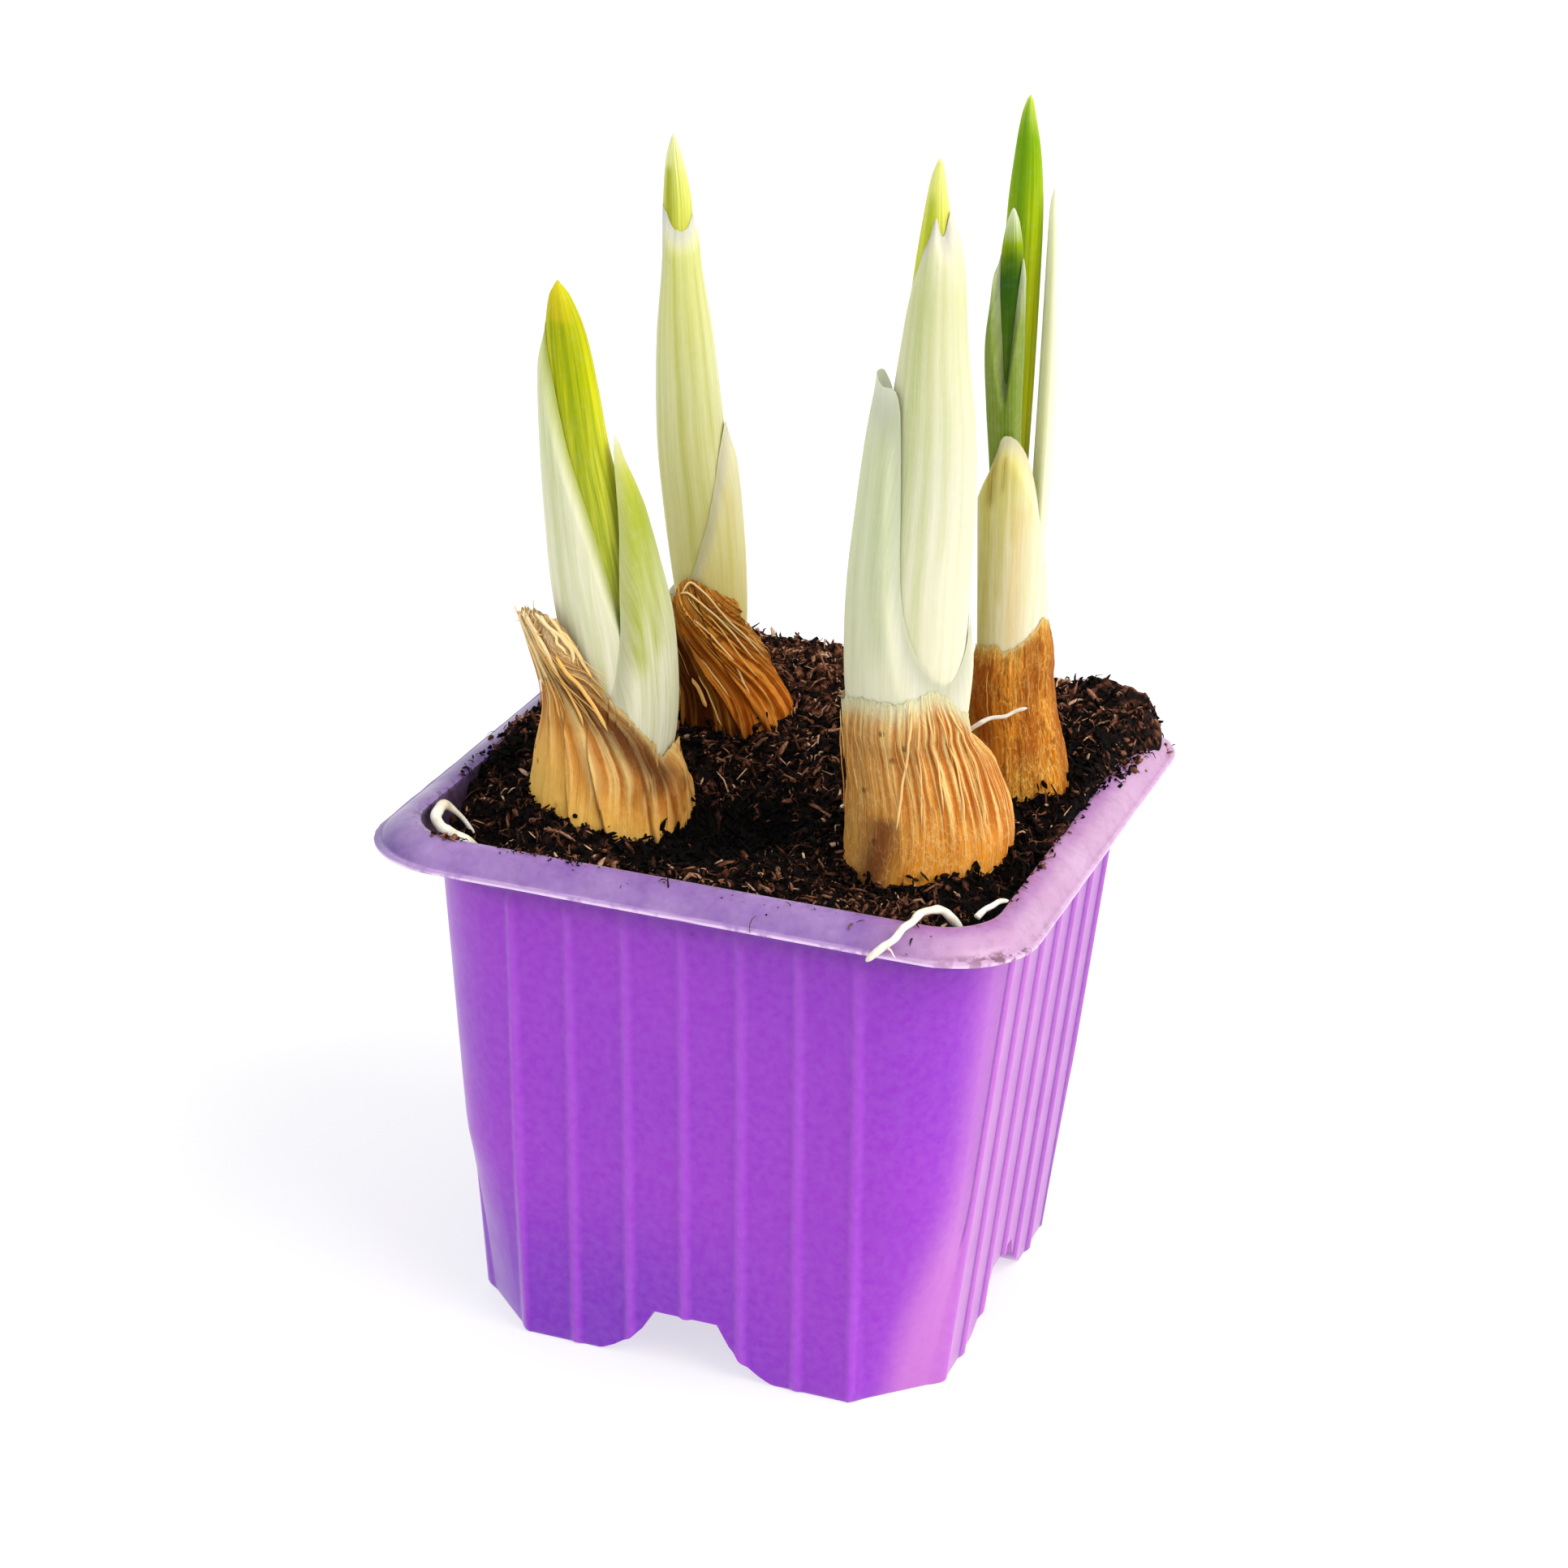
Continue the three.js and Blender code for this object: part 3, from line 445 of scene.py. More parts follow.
def squareRing(z, half, radius, rise=0.0, chamfer=0.0, ribs=False):
    # one level of a square with round corners, which can also be cut straight
    start = half - radius
    side = []
    if ribs:
        for k in range(pot["ribCount"]):
            middle = (k - (pot["ribCount"] - 1) / 2) * pot["ribPitch"]
            for t in pot["ribSteps"]:
                x = middle + t * pot["ribWidth"]
                over = max(abs(x) - start, 0)
                arc = start + math.sqrt(max(radius**2 - over**2, 0))
                side.append((x, -blend(arc, half - over, chamfer) - rise * float(ribShare(t))))
    else:
        side = [(x, -half) for x in np.linspace(-start, start, pot["flatSteps"])[:-1]]
    margin = pot["cornerMargin"] if ribs else 0
    for t in np.linspace(margin, 1 - margin, pot["cornerSteps"] + 1)[: None if ribs else -1]:
        turn = t * math.pi / 2
        arc = np.array([start + radius * math.sin(turn), -start - radius * math.cos(turn)])
        chord = np.array([start + radius * t, -half + radius * t])
        side.append(tuple(blend(arc, chord, chamfer)))
    quarter, ring = np.array(side), []
    for _ in range(4):
        ring.append(quarter)
        quarter = np.stack([-quarter[:, 1], quarter[:, 0]], -1)
    ring = np.concatenate(ring)
    return np.column_stack([ring, np.full(len(ring), z)])


def wallBody():
    # levels: z, how far the ribs stand out, how far the foot is drawn in
    levels = [(0, 0.25, 0.3), (0.25, 0.4, 0.1), (0.6, 0.5, 0)]
    levels += [(z, 0.5, 0) for z in np.linspace(3, 66, 22)]
    levels += [(67, 0.42, 0), (68, 0.2, 0), (69, 0, 0), (70.5, 0, 0)]
    rings = []
    for z, rise, inset in levels:
        half = wallHalf(z) - inset
        rings.append(squareRing(z, half, half - pot["cornerStart"], rise, cornerCut(z), True))
    return loftShape(rings)


def rimBody():
    rings = [squareRing(*level) for level in pot["rimProfile"]]
    for ring, (z, lipHalf, _) in zip(rings, pot["rimProfile"]):
        ragged = layeredNoise(ring * [1, 1, 0], 2.6, 3) + 0.5 * layeredNoise(ring * [1, 1, 0] + 50, 0.9, 2)
        amount = pot["lipRagged"] * float(soften((lipHalf - 43.9) / 0.8)) * (1 if z < 72 else 0.3)
        ring[:, :2] *= 1 + np.minimum(amount * ragged, 0.02)[:, None] / lipHalf
        ring[:, 2] += 0.5 * amount * ragged
    return loftShape(rings)


def insideBody(offset, overRim=False):
    # everything inside the wall, grown or shrunk by an offset, and on up past the heap or over the rim
    levels = []
    for z in (pot["wall"] - offset, 7, 14, 21, pot["cutTopZ"], 47, pot["wallTopZ"] - 3):
        half = wallHalf(z) - pot["wall"] + offset
        start = pot["cornerStart"] - (pot["wall"] - offset) * (math.sqrt(2) - 1)
        levels.append(squareRing(z, half, half - start, 0, cornerCut(z)))
    # levels of the rim's inside: z, half side, corner radius
    above = ((72.3, 43.3, 11.3), (95, 43.3, 11.3)) if overRim else ((73.6, 39.4, 8), (95, 39.4, 8))
    for z, half, radius in ((70, 38.7, 11), (72.2, 39.15, 9.5), *above):
        levels.append(squareRing(z, half + offset, radius + offset))
    return loftShape(levels)


def channelCuts(grow):
    # the two drainage channels, open below, that run the whole way under the pot
    right = [(pot["channelProfile"][0][0] + grow, -5)]
    right += [(half + grow, z + grow if z > 0 else z) for half, z in pot["channelProfile"]]
    outline = right + [(-half, z) for half, z in reversed(right)]
    across = loftShape([[(x, y, z) for y, z in outline] for x in (-pot["rimHalf"], pot["rimHalf"])])
    along = {**across, "points": across["points"][:, [1, 0, 2]] * [-1, 1, 1]}
    return [("DIFFERENCE", across), ("DIFFERENCE", along)]


def drainCuts():
    # five round holes in the roof of the channels
    turn = np.linspace(0, 2 * math.pi, pot["drainSteps"], endpoint=False)
    reach, cuts = pot["drainReach"], []
    for x, y in ((0, 0), (reach, 0), (-reach, 0), (0, reach), (0, -reach)):
        rings = [around(turn, pot["drainRadius"], pot["channelZ"] + z) + [x, y, 0] for z in (-2, 3)]
        cuts.append(("DIFFERENCE", loftShape(rings)))
    return cuts


def makePotMaterial():
    paint = Paint("purplePlastic", {
        "Subsurface Weight": 0.12, "Subsurface Scale": 0.004, "Subsurface Radius": (0.9, 0.4, 1.0),
        "Specular IOR Level": 0.4, "Sheen Weight": 0.36, "Sheen Roughness": 0.3,
        "Sheen Tint": (1.0, 0.86, 0.95, 1.0),
    })
    cloudy = paint.fit(paint.noise(28), 0.35, 0.65, 0.55, 1.0)
    paint.colour = paint.mix(cloudy, pot["shade"], pot["colour"])
    # painted shade, darker towards the bottom and the left
    paint.over(pot["lowShadeColour"], "low")
    # painted light, paler on the side that faces +X
    paint.over(pot["litSideColour"], "side")
    # painted highlight on the raised ribs
    paint.over(pot["ribHighlightColour"], "rib", 0.6)
    # painted shade under the rim
    paint.over(pot["underRimShadeColour"], "under", 0.6)
    # painted shade, a dark line along each rib on the side that faces +X
    paint.over(pot["ribShadeLine"], "ribShadeLine")
    # painted shade on the rim's left side, painted light on its right, and painted shade on the inner half
    # of the right side
    rim = paint.mix("rimInnerShade", paint.ramp("across", pot["rimShadeToLightColours"]), pot["rimInnerShade"])
    worn = paint.fit(paint.noise(75, 4, 0.6), 0.4, 0.66, 0.0, 0.22)
    paint.over(paint.mix(worn, rim, pot["lipColour"]), "rim")
    trimmed = paint.fit(paint.noise(480, 4, 0.6), 0.36, 0.5, 0.3, 1.0)
    height = paint.add("SeparateXYZ", {"Vector": paint.place}).outputs["Z"]
    trimmed = paint.times(trimmed, paint.fit(height, 71.55 * mm, 71.8 * mm, 1.0, 0.25))
    paint.over(pot["lipColour"], "lip", trimmed)
    paint.over(pot["lipGrime"], "lipGrime", paint.fit(paint.noise(520, 4, 0.6), 0.47, 0.56, 0.0, 0.85))
    # painted shade on the inner wall below the rim's crest
    paint.over(pot["insideShadeColour"], "inside")
    paint.over(pot["bloomColour"], paint.fit(paint.noise(900, 2), 0.3, 0.7, 0.0, 0.06))
    paint.over(pot["grimeColour"], "grime", paint.fit(paint.noise(700, 5, 0.65), 0.5, 0.6))
    picked = paint.fit(paint.noise(60, 1), 0.6, 0.62)
    paint.over(pot["speckColour"], paint.fit(paint.spots(90), 0.04, 0.025), picked)
    return paint.finished(roughness=paint.fit(paint.noise(160), 0.3, 0.7, 0.3, 0.44),
                          normal=paint.bump(paint.noise(380, 4), 0.16, 0.00012))


def makePot():
    hollow = carve("hollow", insideBody(0), channelCuts(pot["wall"]))
    mesh = carve("potMoulding", wallBody(), [
        ("UNION", rimBody()), ("DIFFERENCE", hollow), *channelCuts(0), *drainCuts(),
    ])
    x, y, z = pointsOf(mesh).T
    along = np.where(np.abs(y) > np.abs(x), x, y)
    cell = along / pot["ribPitch"]
    nearest = (cell - np.round(cell)) * pot["ribPitch"] / pot["ribWidth"]
    outside = np.maximum(np.abs(x), np.abs(y)) > wallHalf(z) - 0.4
    within = np.abs(along) < pot["ribPitch"] * (pot["ribCount"] / 2 - 0.3)
    # painted light: the side that faces +X is painted paler, from round the corner on, with painted shade as
    # a dark line along each rib
    start = pot["cornerStart"]
    aroundCorner = np.degrees(np.arctan2(x - start, -y - start))
    side = soften((aroundCorner - 46 + 32 * soften((40 - z) / 40)) / 42)
    side = side * np.where(y > 0, soften((x - start - 0.6 * np.maximum(y - start, 0)) / 8), 1)
    lines = 0.95 * bell((nearest + 0.5) / 0.13) + 0.35 * bell((nearest + 0.2) / 0.3) * soften((y + 15) / 40)
    rimStart = pot["mouthHalf"] - pot["mouthCorner"]
    fromWall, fromRim = start + beyond(x, y, start), rimStart + beyond(x, y, rimStart)
    inner = np.where(z > pot["wallTopZ"], fromRim < pot["mouthHalf"] + 0.1, fromWall < wallHalf(z) - 0.7)
    nearMouth = soften(1 - (fromRim - pot["mouthHalf"]) / 1.8)
    onLip = soften((fromRim - 44.5) / 0.25) * (z > 71.25) * (z < 72.1)
    onLipSide = soften((fromRim - 43.9) / 0.5) * (z > 71.2) * (z < 72.6)
    addMarks(mesh, {
        # painted highlight on the raised ribs, less on the paler +X side
        "rib": ribShare(nearest) * within * outside * (z < 68.5) * (1 - 0.7 * side),
        # painted light on the side that faces +X
        "side": side,
        # painted shade along each rib on the side that faces +X
        "ribShadeLine": np.minimum(lines, 1) * within * outside * (z < pot["wallTopZ"]) * (x > np.abs(y)),
        # painted shade to painted light across the rim, from the left side to the right
        "across": (x + pot["rimHalf"]) / pot["rimHalf"] / 2,
        "rim": soften((z - 70.8) / 0.9),
        # painted shade, darker towards the bottom and the left
        "low": 0.7 * soften((30 - z) / 26) * soften((30 - x) / 40),
        "lip": onLip * (0.2 + 0.8 * soften((x + 44.6) / 5)),
        # painted shade on the inner half of the rim on the right side
        "rimInnerShade": 0.75 * soften((42.6 - fromRim) / 1.6) * soften((x - 24) / 12),
        "lipGrime": spotAt(x, y, 42, -38, 60) * onLipSide,
        # painted shade on the wall just under the rim
        "under": soften((z - 65.5) / 3.5) * (z < 71.1),
        # painted shade on the inner wall below the rim's crest
        "inside": 0.97 * inner * (z > 55) * soften((pot["crestZ"] - 0.4 - z) / 0.8),
        "grime": np.where(inner & (z > 60), 1.0, 0.45 * nearMouth * (z > 72) + 0.1 * (z > 71.9)),
    })
    placePiece("potMoulding", mesh, makePotMaterial(), "pot", ["pot"], 38)


makePot()
print("pot made")

# The peat heap.
peat = {
    "frontZ": 70.8,
    "backZ": 79.2,
    "slopeReach": 36.0,
    "reach": 44.0,
    "bottomZ": -5,
    "cells": 230,
    "edgeRise": 0.5,
    "edgeWander": 1.5,
    "edgeSlope": 1.5,
    "overflow": (37, 36, 66),  # where it spills over the rim: x, y, spread
    "overflowRise": 8.8,
    "lumpSize": 5.5,
    "lumpRise": 1.4,
    "clodSize": 2.4,
    "clodRise": 1.5,
    "crumbSize": 1.0,
    "crumbRise": 0.7,
    "mounds": (  # x, y, rise, spread
        (34, 34, 0.2, 160), (-20, 33, 1.8, 120), (-42, -22, -1.7, 90), (-36, 8, 1.6, 160),
        (1.5, -17, -3.4, 40), (-35, -33, -4.3, 60), (-31, -18, 1.7, 26), (-24.5, -26, 2.2, 30),
        (-7.5, -21, -2.0, 60), (19, -25, -1.6, 40), (31, -24.5, 1.5, 22),
    ),
    "shadeAndToneSpots": (  # x, y, spread, darkness: painted shade in the deep hollows, darker or paler tone elsewhere
        (1.5, -17, 50, 0.36), (-7.5, -21, 60, 0.36), (36, -22, 40, 0.12), (-36, -10, 60, 0.1),
        (38, 14, 160, 0.2), (2, 30, 260, -0.1),
    ),
    "crumbs": 2600,
    "flakes": 3000,
    "clods": 240,
    "collar": 90,
    "fibres": 5400,
    "strips": 150,
    "colours": shades((0.36, 6, 3, 2), (0.5, 34, 20, 15), (0.62, 94, 54, 38), (0.78, 158, 106, 80),
                      (0.98, 232, 190, 156)),
}


def fromMouth(x, y):
    # how far in from the pot's mouth, less than nothing over the rim
    return pot["mouthCorner"] - beyond(x, y, pot["mouthHalf"] - pot["mouthCorner"])


def peatHeight(x, y):
    z = blend(peat["frontZ"], peat["backZ"], np.clip((y / peat["slopeReach"] + 1) / 2, 0, 1))
    for moundX, moundY, rise, spread in peat["mounds"]:
        z = z + rise * spotAt(x, y, moundX, moundY, spread)
    flat = stack(x, y, 0)
    z = z + peat["lumpRise"] * layeredNoise(flat + 9, peat["lumpSize"], 3)
    # rounded clods with deep gaps between them
    z = z + peat["clodRise"] * (np.abs(layeredNoise(flat + 40, peat["clodSize"], 2, 0.5)) - 0.25)
    z = z + peat["crumbRise"] * (np.abs(cellNoise(flat / peat["crumbSize"] + 70)) - 0.3)
    edge = peat["edgeRise"] + peat["edgeWander"] * layeredNoise(flat + 120, 3.4, 3)
    edge = edge + peat["overflowRise"] * spotAt(x, y, *peat["overflow"])
    return np.minimum(z, pot["crestZ"] + edge + peat["edgeSlope"] * fromMouth(x, y))


def peatBlock():
    size = peat["cells"] + 1
    line = np.linspace(-peat["reach"], peat["reach"], size)
    x, y = np.meshgrid(line, line)
    shiftX, shiftY = (0.12 * cellNoise(stack(x * 3, y * 3, seed)) for seed in (5, 90))
    x, y = x + shiftX, y + shiftY
    top = stack(x, y, peatHeight(x, y)).reshape(-1, 3)
    # the points along the block's four sides, in order
    edge = [*range(size - 1), *(k * size + size - 1 for k in range(size - 1))]
    edge += [size * size - 1 - k for k in edge]
    below = top[edge] * [1, 1, 0] + [0, 0, peat["bottomZ"]]
    faces = gridFaces(size, size).tolist()
    count, first = len(edge), len(top)
    for k in range(count):
        n = (k + 1) % count
        faces += [[edge[k], first + k, first + n, edge[n]], [first + k, first + count, first + n]]
    return {"points": np.concatenate([top, below, [[0, 0, peat["bottomZ"]]]]), "faces": faces, "marks": {}}


def makePeatMaterial():
    paint = Paint("darkPeat", {"Specular IOR Level": 0.07})
    grain = paint.noise(900, 5, 0.65)
    tone = paint.plus(paint.times(grain, 0.7), paint.times(paint.noise(120), 0.3))
    paint.colour = paint.ramp(paint.plus(tone, paint.plus("tone", -0.5)), peat["colours"])
    coarse = paint.bump(paint.noise(900, 4, 0.7), 0.9, 0.0005)
    return paint.finished(roughness=paint.fit(grain, 0.3, 0.7, 0.55, 0.95),
                          normal=paint.bump(paint.noise(2600), 0.6, 0.0002, coarse))


peatMaterial = makePeatMaterial()


def paler(points):
    # the heap is paler towards the back, with painted shade in its deep hollows and darker or paler tone in
    # other spots
    tone = 0.1 * soften((points[:, 1] - 2) / 26)
    for x, y, spread, darkness in peat["shadeAndToneSpots"]:
        tone = tone - darkness * spotAt(points[:, 0], points[:, 1], x, y, spread)
    return tone


def makePeat():
    rimRing = carve("rimRing", rimBody(), [("DIFFERENCE", insideBody(0))])
    mesh = carve("peatHeap", peatBlock(), [
        ("INTERSECT", insideBody(-0.12, True)), ("DIFFERENCE", rimRing), *channelCuts(pot["wall"] + 0.3),
    ])
    points = pointsOf(mesh)
    tone = 0.4 + 0.26 * layeredNoise(points, 2.4, 3) + 0.14 * cellNoise(points * 1.6) + paler(points)
    addMarks(mesh, {"tone": tone})
    placePiece("peatHeap", mesh, peatMaterial, "soil", ["soil"])


makePeat()
print("peat heap made")

# The plants. Rows are [z, left, right, front, back] of a piece's outer surface in its plant's own
# frame, which is turned about Z; edges and rims are [degrees, z]. Strokes of colour are
# [degrees, z, degrees, z, half width in degrees, strength], from a lower to an upper point.
plantTurn = math.radians(19.8)

frontLeft = {
    "name": "frontLeft", "place": (-19.3, -15.2),
    "tunic": {
        "seed": 11, "columns": 480, "cupZ": 76, "fray": 0.6, "hugReach": 4.5, "gather": (190, 0.8, 78, 100),
        "net": 0.15, "stands": [(198, 36, 1.0), (342, 12, 0.6)],
        "rows": [[60, -6, 5, -5.5, 5.5], [65, -10.4, 9.2, -9, 9], [72, -11.9, 10.5, -10.2, 10.2],
                 [78, -11.1, 9.9, -9.4, 9.6], [84, -10.2, 8.9, -8, 8.4], [89, -9.9, 8.4, -6.8, 7.6],
                 [95, -11.6, 8, -5.6, 7], [99, -13, 7.6, -5, 6.5]],
        "rim": [[-60, 82.6], [-38, 80.4], [-26, 82.6], [-16, 83.2], [-2, 80.2], [20, 79.4], [70, 81],
                [110, 86], [140, 92], [162, 98], [182, 99.4], [205, 100.4], [222, 100.2], [233, 98.6],
                [240, 95.8], [247, 93.3], [259, 90.5], [273, 88], [287, 85.9], [300, 84], [322, 81],
                [334, 82.6], [344, 83.2], [358, 80.2], [380, 79.4]],
        "ridges": [(26, 2.8, 0.34, 0.45, 0.7), (11, 7.0, 0.4, 0.5, 0.8)], "lines": 26, "lineShare": 0.55,
        "smooth": 0.58, "crestHighlightShare": 0.5, "grainShare": 0.7, "strong": (250, 90, 0.5), "reliefScale": 0.3,
        "scales": [(232, 196, 0.8, 0.5), (262, 219, 0.8, 0.6), (290, 240, 0.85, 0.65), (318, 288, 0.9, 0.6),
                   (340, 316, 0.9, 0.5), (358, 342, 0.8, 0.4)],
        "colours": shades((0, 170, 98, 28), (0.1, 255, 190, 74), (0.42, 255, 206, 104),
                          (0.58, 255, 184, 84), (0.75, 214, 132, 52), (1, 234, 182, 108)),
        "furrow": rgb(162, 94, 32), "ridge": rgb(255, 222, 146), "blotch": rgb(255, 178, 66),
        "deep": rgb(92, 44, 18), "strokes": [[314, 79, 222, 93, 16, 1.0], [340, 77, 296, 82.5, 8, 0.4]],
        "stains": [(rgb(240, 222, 186), [[206, 92, 204, 101, 44, 0.9]])], "strands": 18, "strandFrom": 190,
        "strandTo": 232,
        "longStrands": [(0.2, 1.0, [[190, 90], [187, 95], [184, 99]]),
                        (0.22, 1.0, [[204, 90], [197, 95], [190, 99.4]]),
                        (0.24, 1.0, [[216, 91], [206, 95.5], [197, 99.8]]),
                        (0.26, 1.0, [[230, 92.8], [220, 96.8], [206, 100]]),
                        (0.28, 1.0, [[240, 94.2], [233, 97.4], [214, 100.4]]),
                        (0.26, 0.9, [[246, 93.2], [238, 96.4], [224, 100.2]]),
                        (0.22, 0.8, [[250, 92.2], [242, 95.2], [232, 98.6]]),
                        (0.28, 0.6, [[266, 85.6], [251, 89.4], [240, 92.6], [231, 95.4]]),
                        (0.2, 0.5, [[226, 86], [216, 91], [204, 96]]),
                        (0.2, 0.6, [[248, 86], [234, 91], [220, 96]]),
                        (0.22, 1.0, [[212, 94], [203, 97], [193, 99.8]]),
                        (0.24, 1.0, [[224, 94.4], [214, 97.6], [202, 100.2]]),
                        (0.22, 1.0, [[236, 95.4], [228, 98], [218, 100.2]])],
        "tuft": {"middle": 205, "width": 16, "count": 40, "low": 0.8, "high": 2.6},
    },
    "leaves": [
        {"name": "Leaf", "tip": (-8.7, 0, 143.6),
         "rows": [[76.4, -3.2, 3.6, -3.2, 3.2], [88, -4.6, 4.4, -4, 4], [100, -6.6, 3.4, -4.2, 4.2],
                  [112, -8, 0.9, -3.8, 3.8], [122, -9.2, -1.7, -3.4, 3.4], [130, -9.8, -3.3, -3, 3],
                  [137, -10.2, -5, -2.3, 2.3], [141.5, -9.8, -7, -1.3, 1.3], [143, -9.1, -8.2, -0.4, 0.4]],
         "colours": shades((0, 232, 234, 170), (0.45, 236, 230, 96), (0.8, 218, 216, 4),
                           (0.93, 198, 194, 0), (1, 216, 206, 28)),
         "deep": rgb(126, 148, 0),
         "strokes": [[300, 100, 262, 138, 14, 0.75], [330, 96, 300, 134, 9, 0.5],
                     [262, 112, 235, 138, 12, 0.6], [238, 124, 222, 139, 5, 0.9],
                     [318, 100, 284, 134, 4, 0.7], [280, 106, 250, 136, 4, 0.7]],
         "stains": [(rgb(240, 196, 40), [[250, 139, 245, 143, 50, 0.4]])]},
        {"name": "LeftSheath", "edgeReach": 6.0, "over": ["Leaf"],
         "rows": [[76.4, -4.6, 4.8, -4.6, 4.6], [88, -6.2, 5.7, -5.4, 5.4], [96, -7.8, 5.2, -5.6, 5.6],
                  [104, -9.2, 3.6, -5.4, 5.4], [112, -10, 2.2, -5, 5], [122, -10.8, -0.3, -4.6, 4.6],
                  [131, -11.2, -2.2, -4.2, 4.2], [138, -11, -3.6, -3.6, 3.6]],
         "edge": [[12, 88], [40, 95], [75, 108], [110, 119], [140, 130], [165, 136.5], [185, 138],
                  [205, 135], [225, 130.5], [250, 121], [270, 112], [290, 101], [315, 93], [348, 88]],
         "colours": shades((0, 253, 249, 216), (0.5, 246, 246, 206), (1, 226, 230, 180)), "paleShare": 0.9,
         "deep": rgb(192, 204, 130), "pale": rgb(196, 208, 60),
         "strokes": [[235, 96, 205, 134, 10, 0.5], [262, 90, 222, 126, 6, 0.4]]},
        {"name": "RightSheath", "over": ["Leaf", "LeftSheath"], "stands": [(-12, 16, 0.15)],
         "edgeReach": 8.0,
         "rows": [[76.4, -5.8, 6, -5.8, 5.8], [80, -6.4, 7.5, -6.3, 6.3], [86, -7, 8.2, -6.6, 6.6],
                  [93, -8, 8, -6.8, 6.8], [100, -9.6, 7.1, -6.6, 6.6], [107, -10.6, 5.2, -6.2, 6.2],
                  [114, -11.4, 3.2, -5.8, 5.8], [124, -12, 0.2, -5.2, 5.2]],
         "edge": [[-172, 86], [-120, 87.5], [-90, 90], [-70, 99], [-52, 112], [-34, 121.5], [-20, 123.8],
                  [0, 120.5], [20, 112], [50, 102], [90, 94], [135, 87.5], [172, 86]],
         "colours": shades((0, 252, 251, 220), (0.45, 242, 243, 202), (0.76, 186, 196, 84),
                           (0.9, 194, 198, 64), (0.96, 232, 226, 140), (1, 252, 250, 236)),
         "paleShare": 0.3, "deep": rgb(166, 176, 30), "pale": rgb(234, 234, 180),
         "strokes": [[-66, 96, -40, 117, 12, 0.8], [-44, 98, -22, 115, 12, 0.6],
                     [-20, 98, -8, 112, 10, 0.3]]},
    ],
}

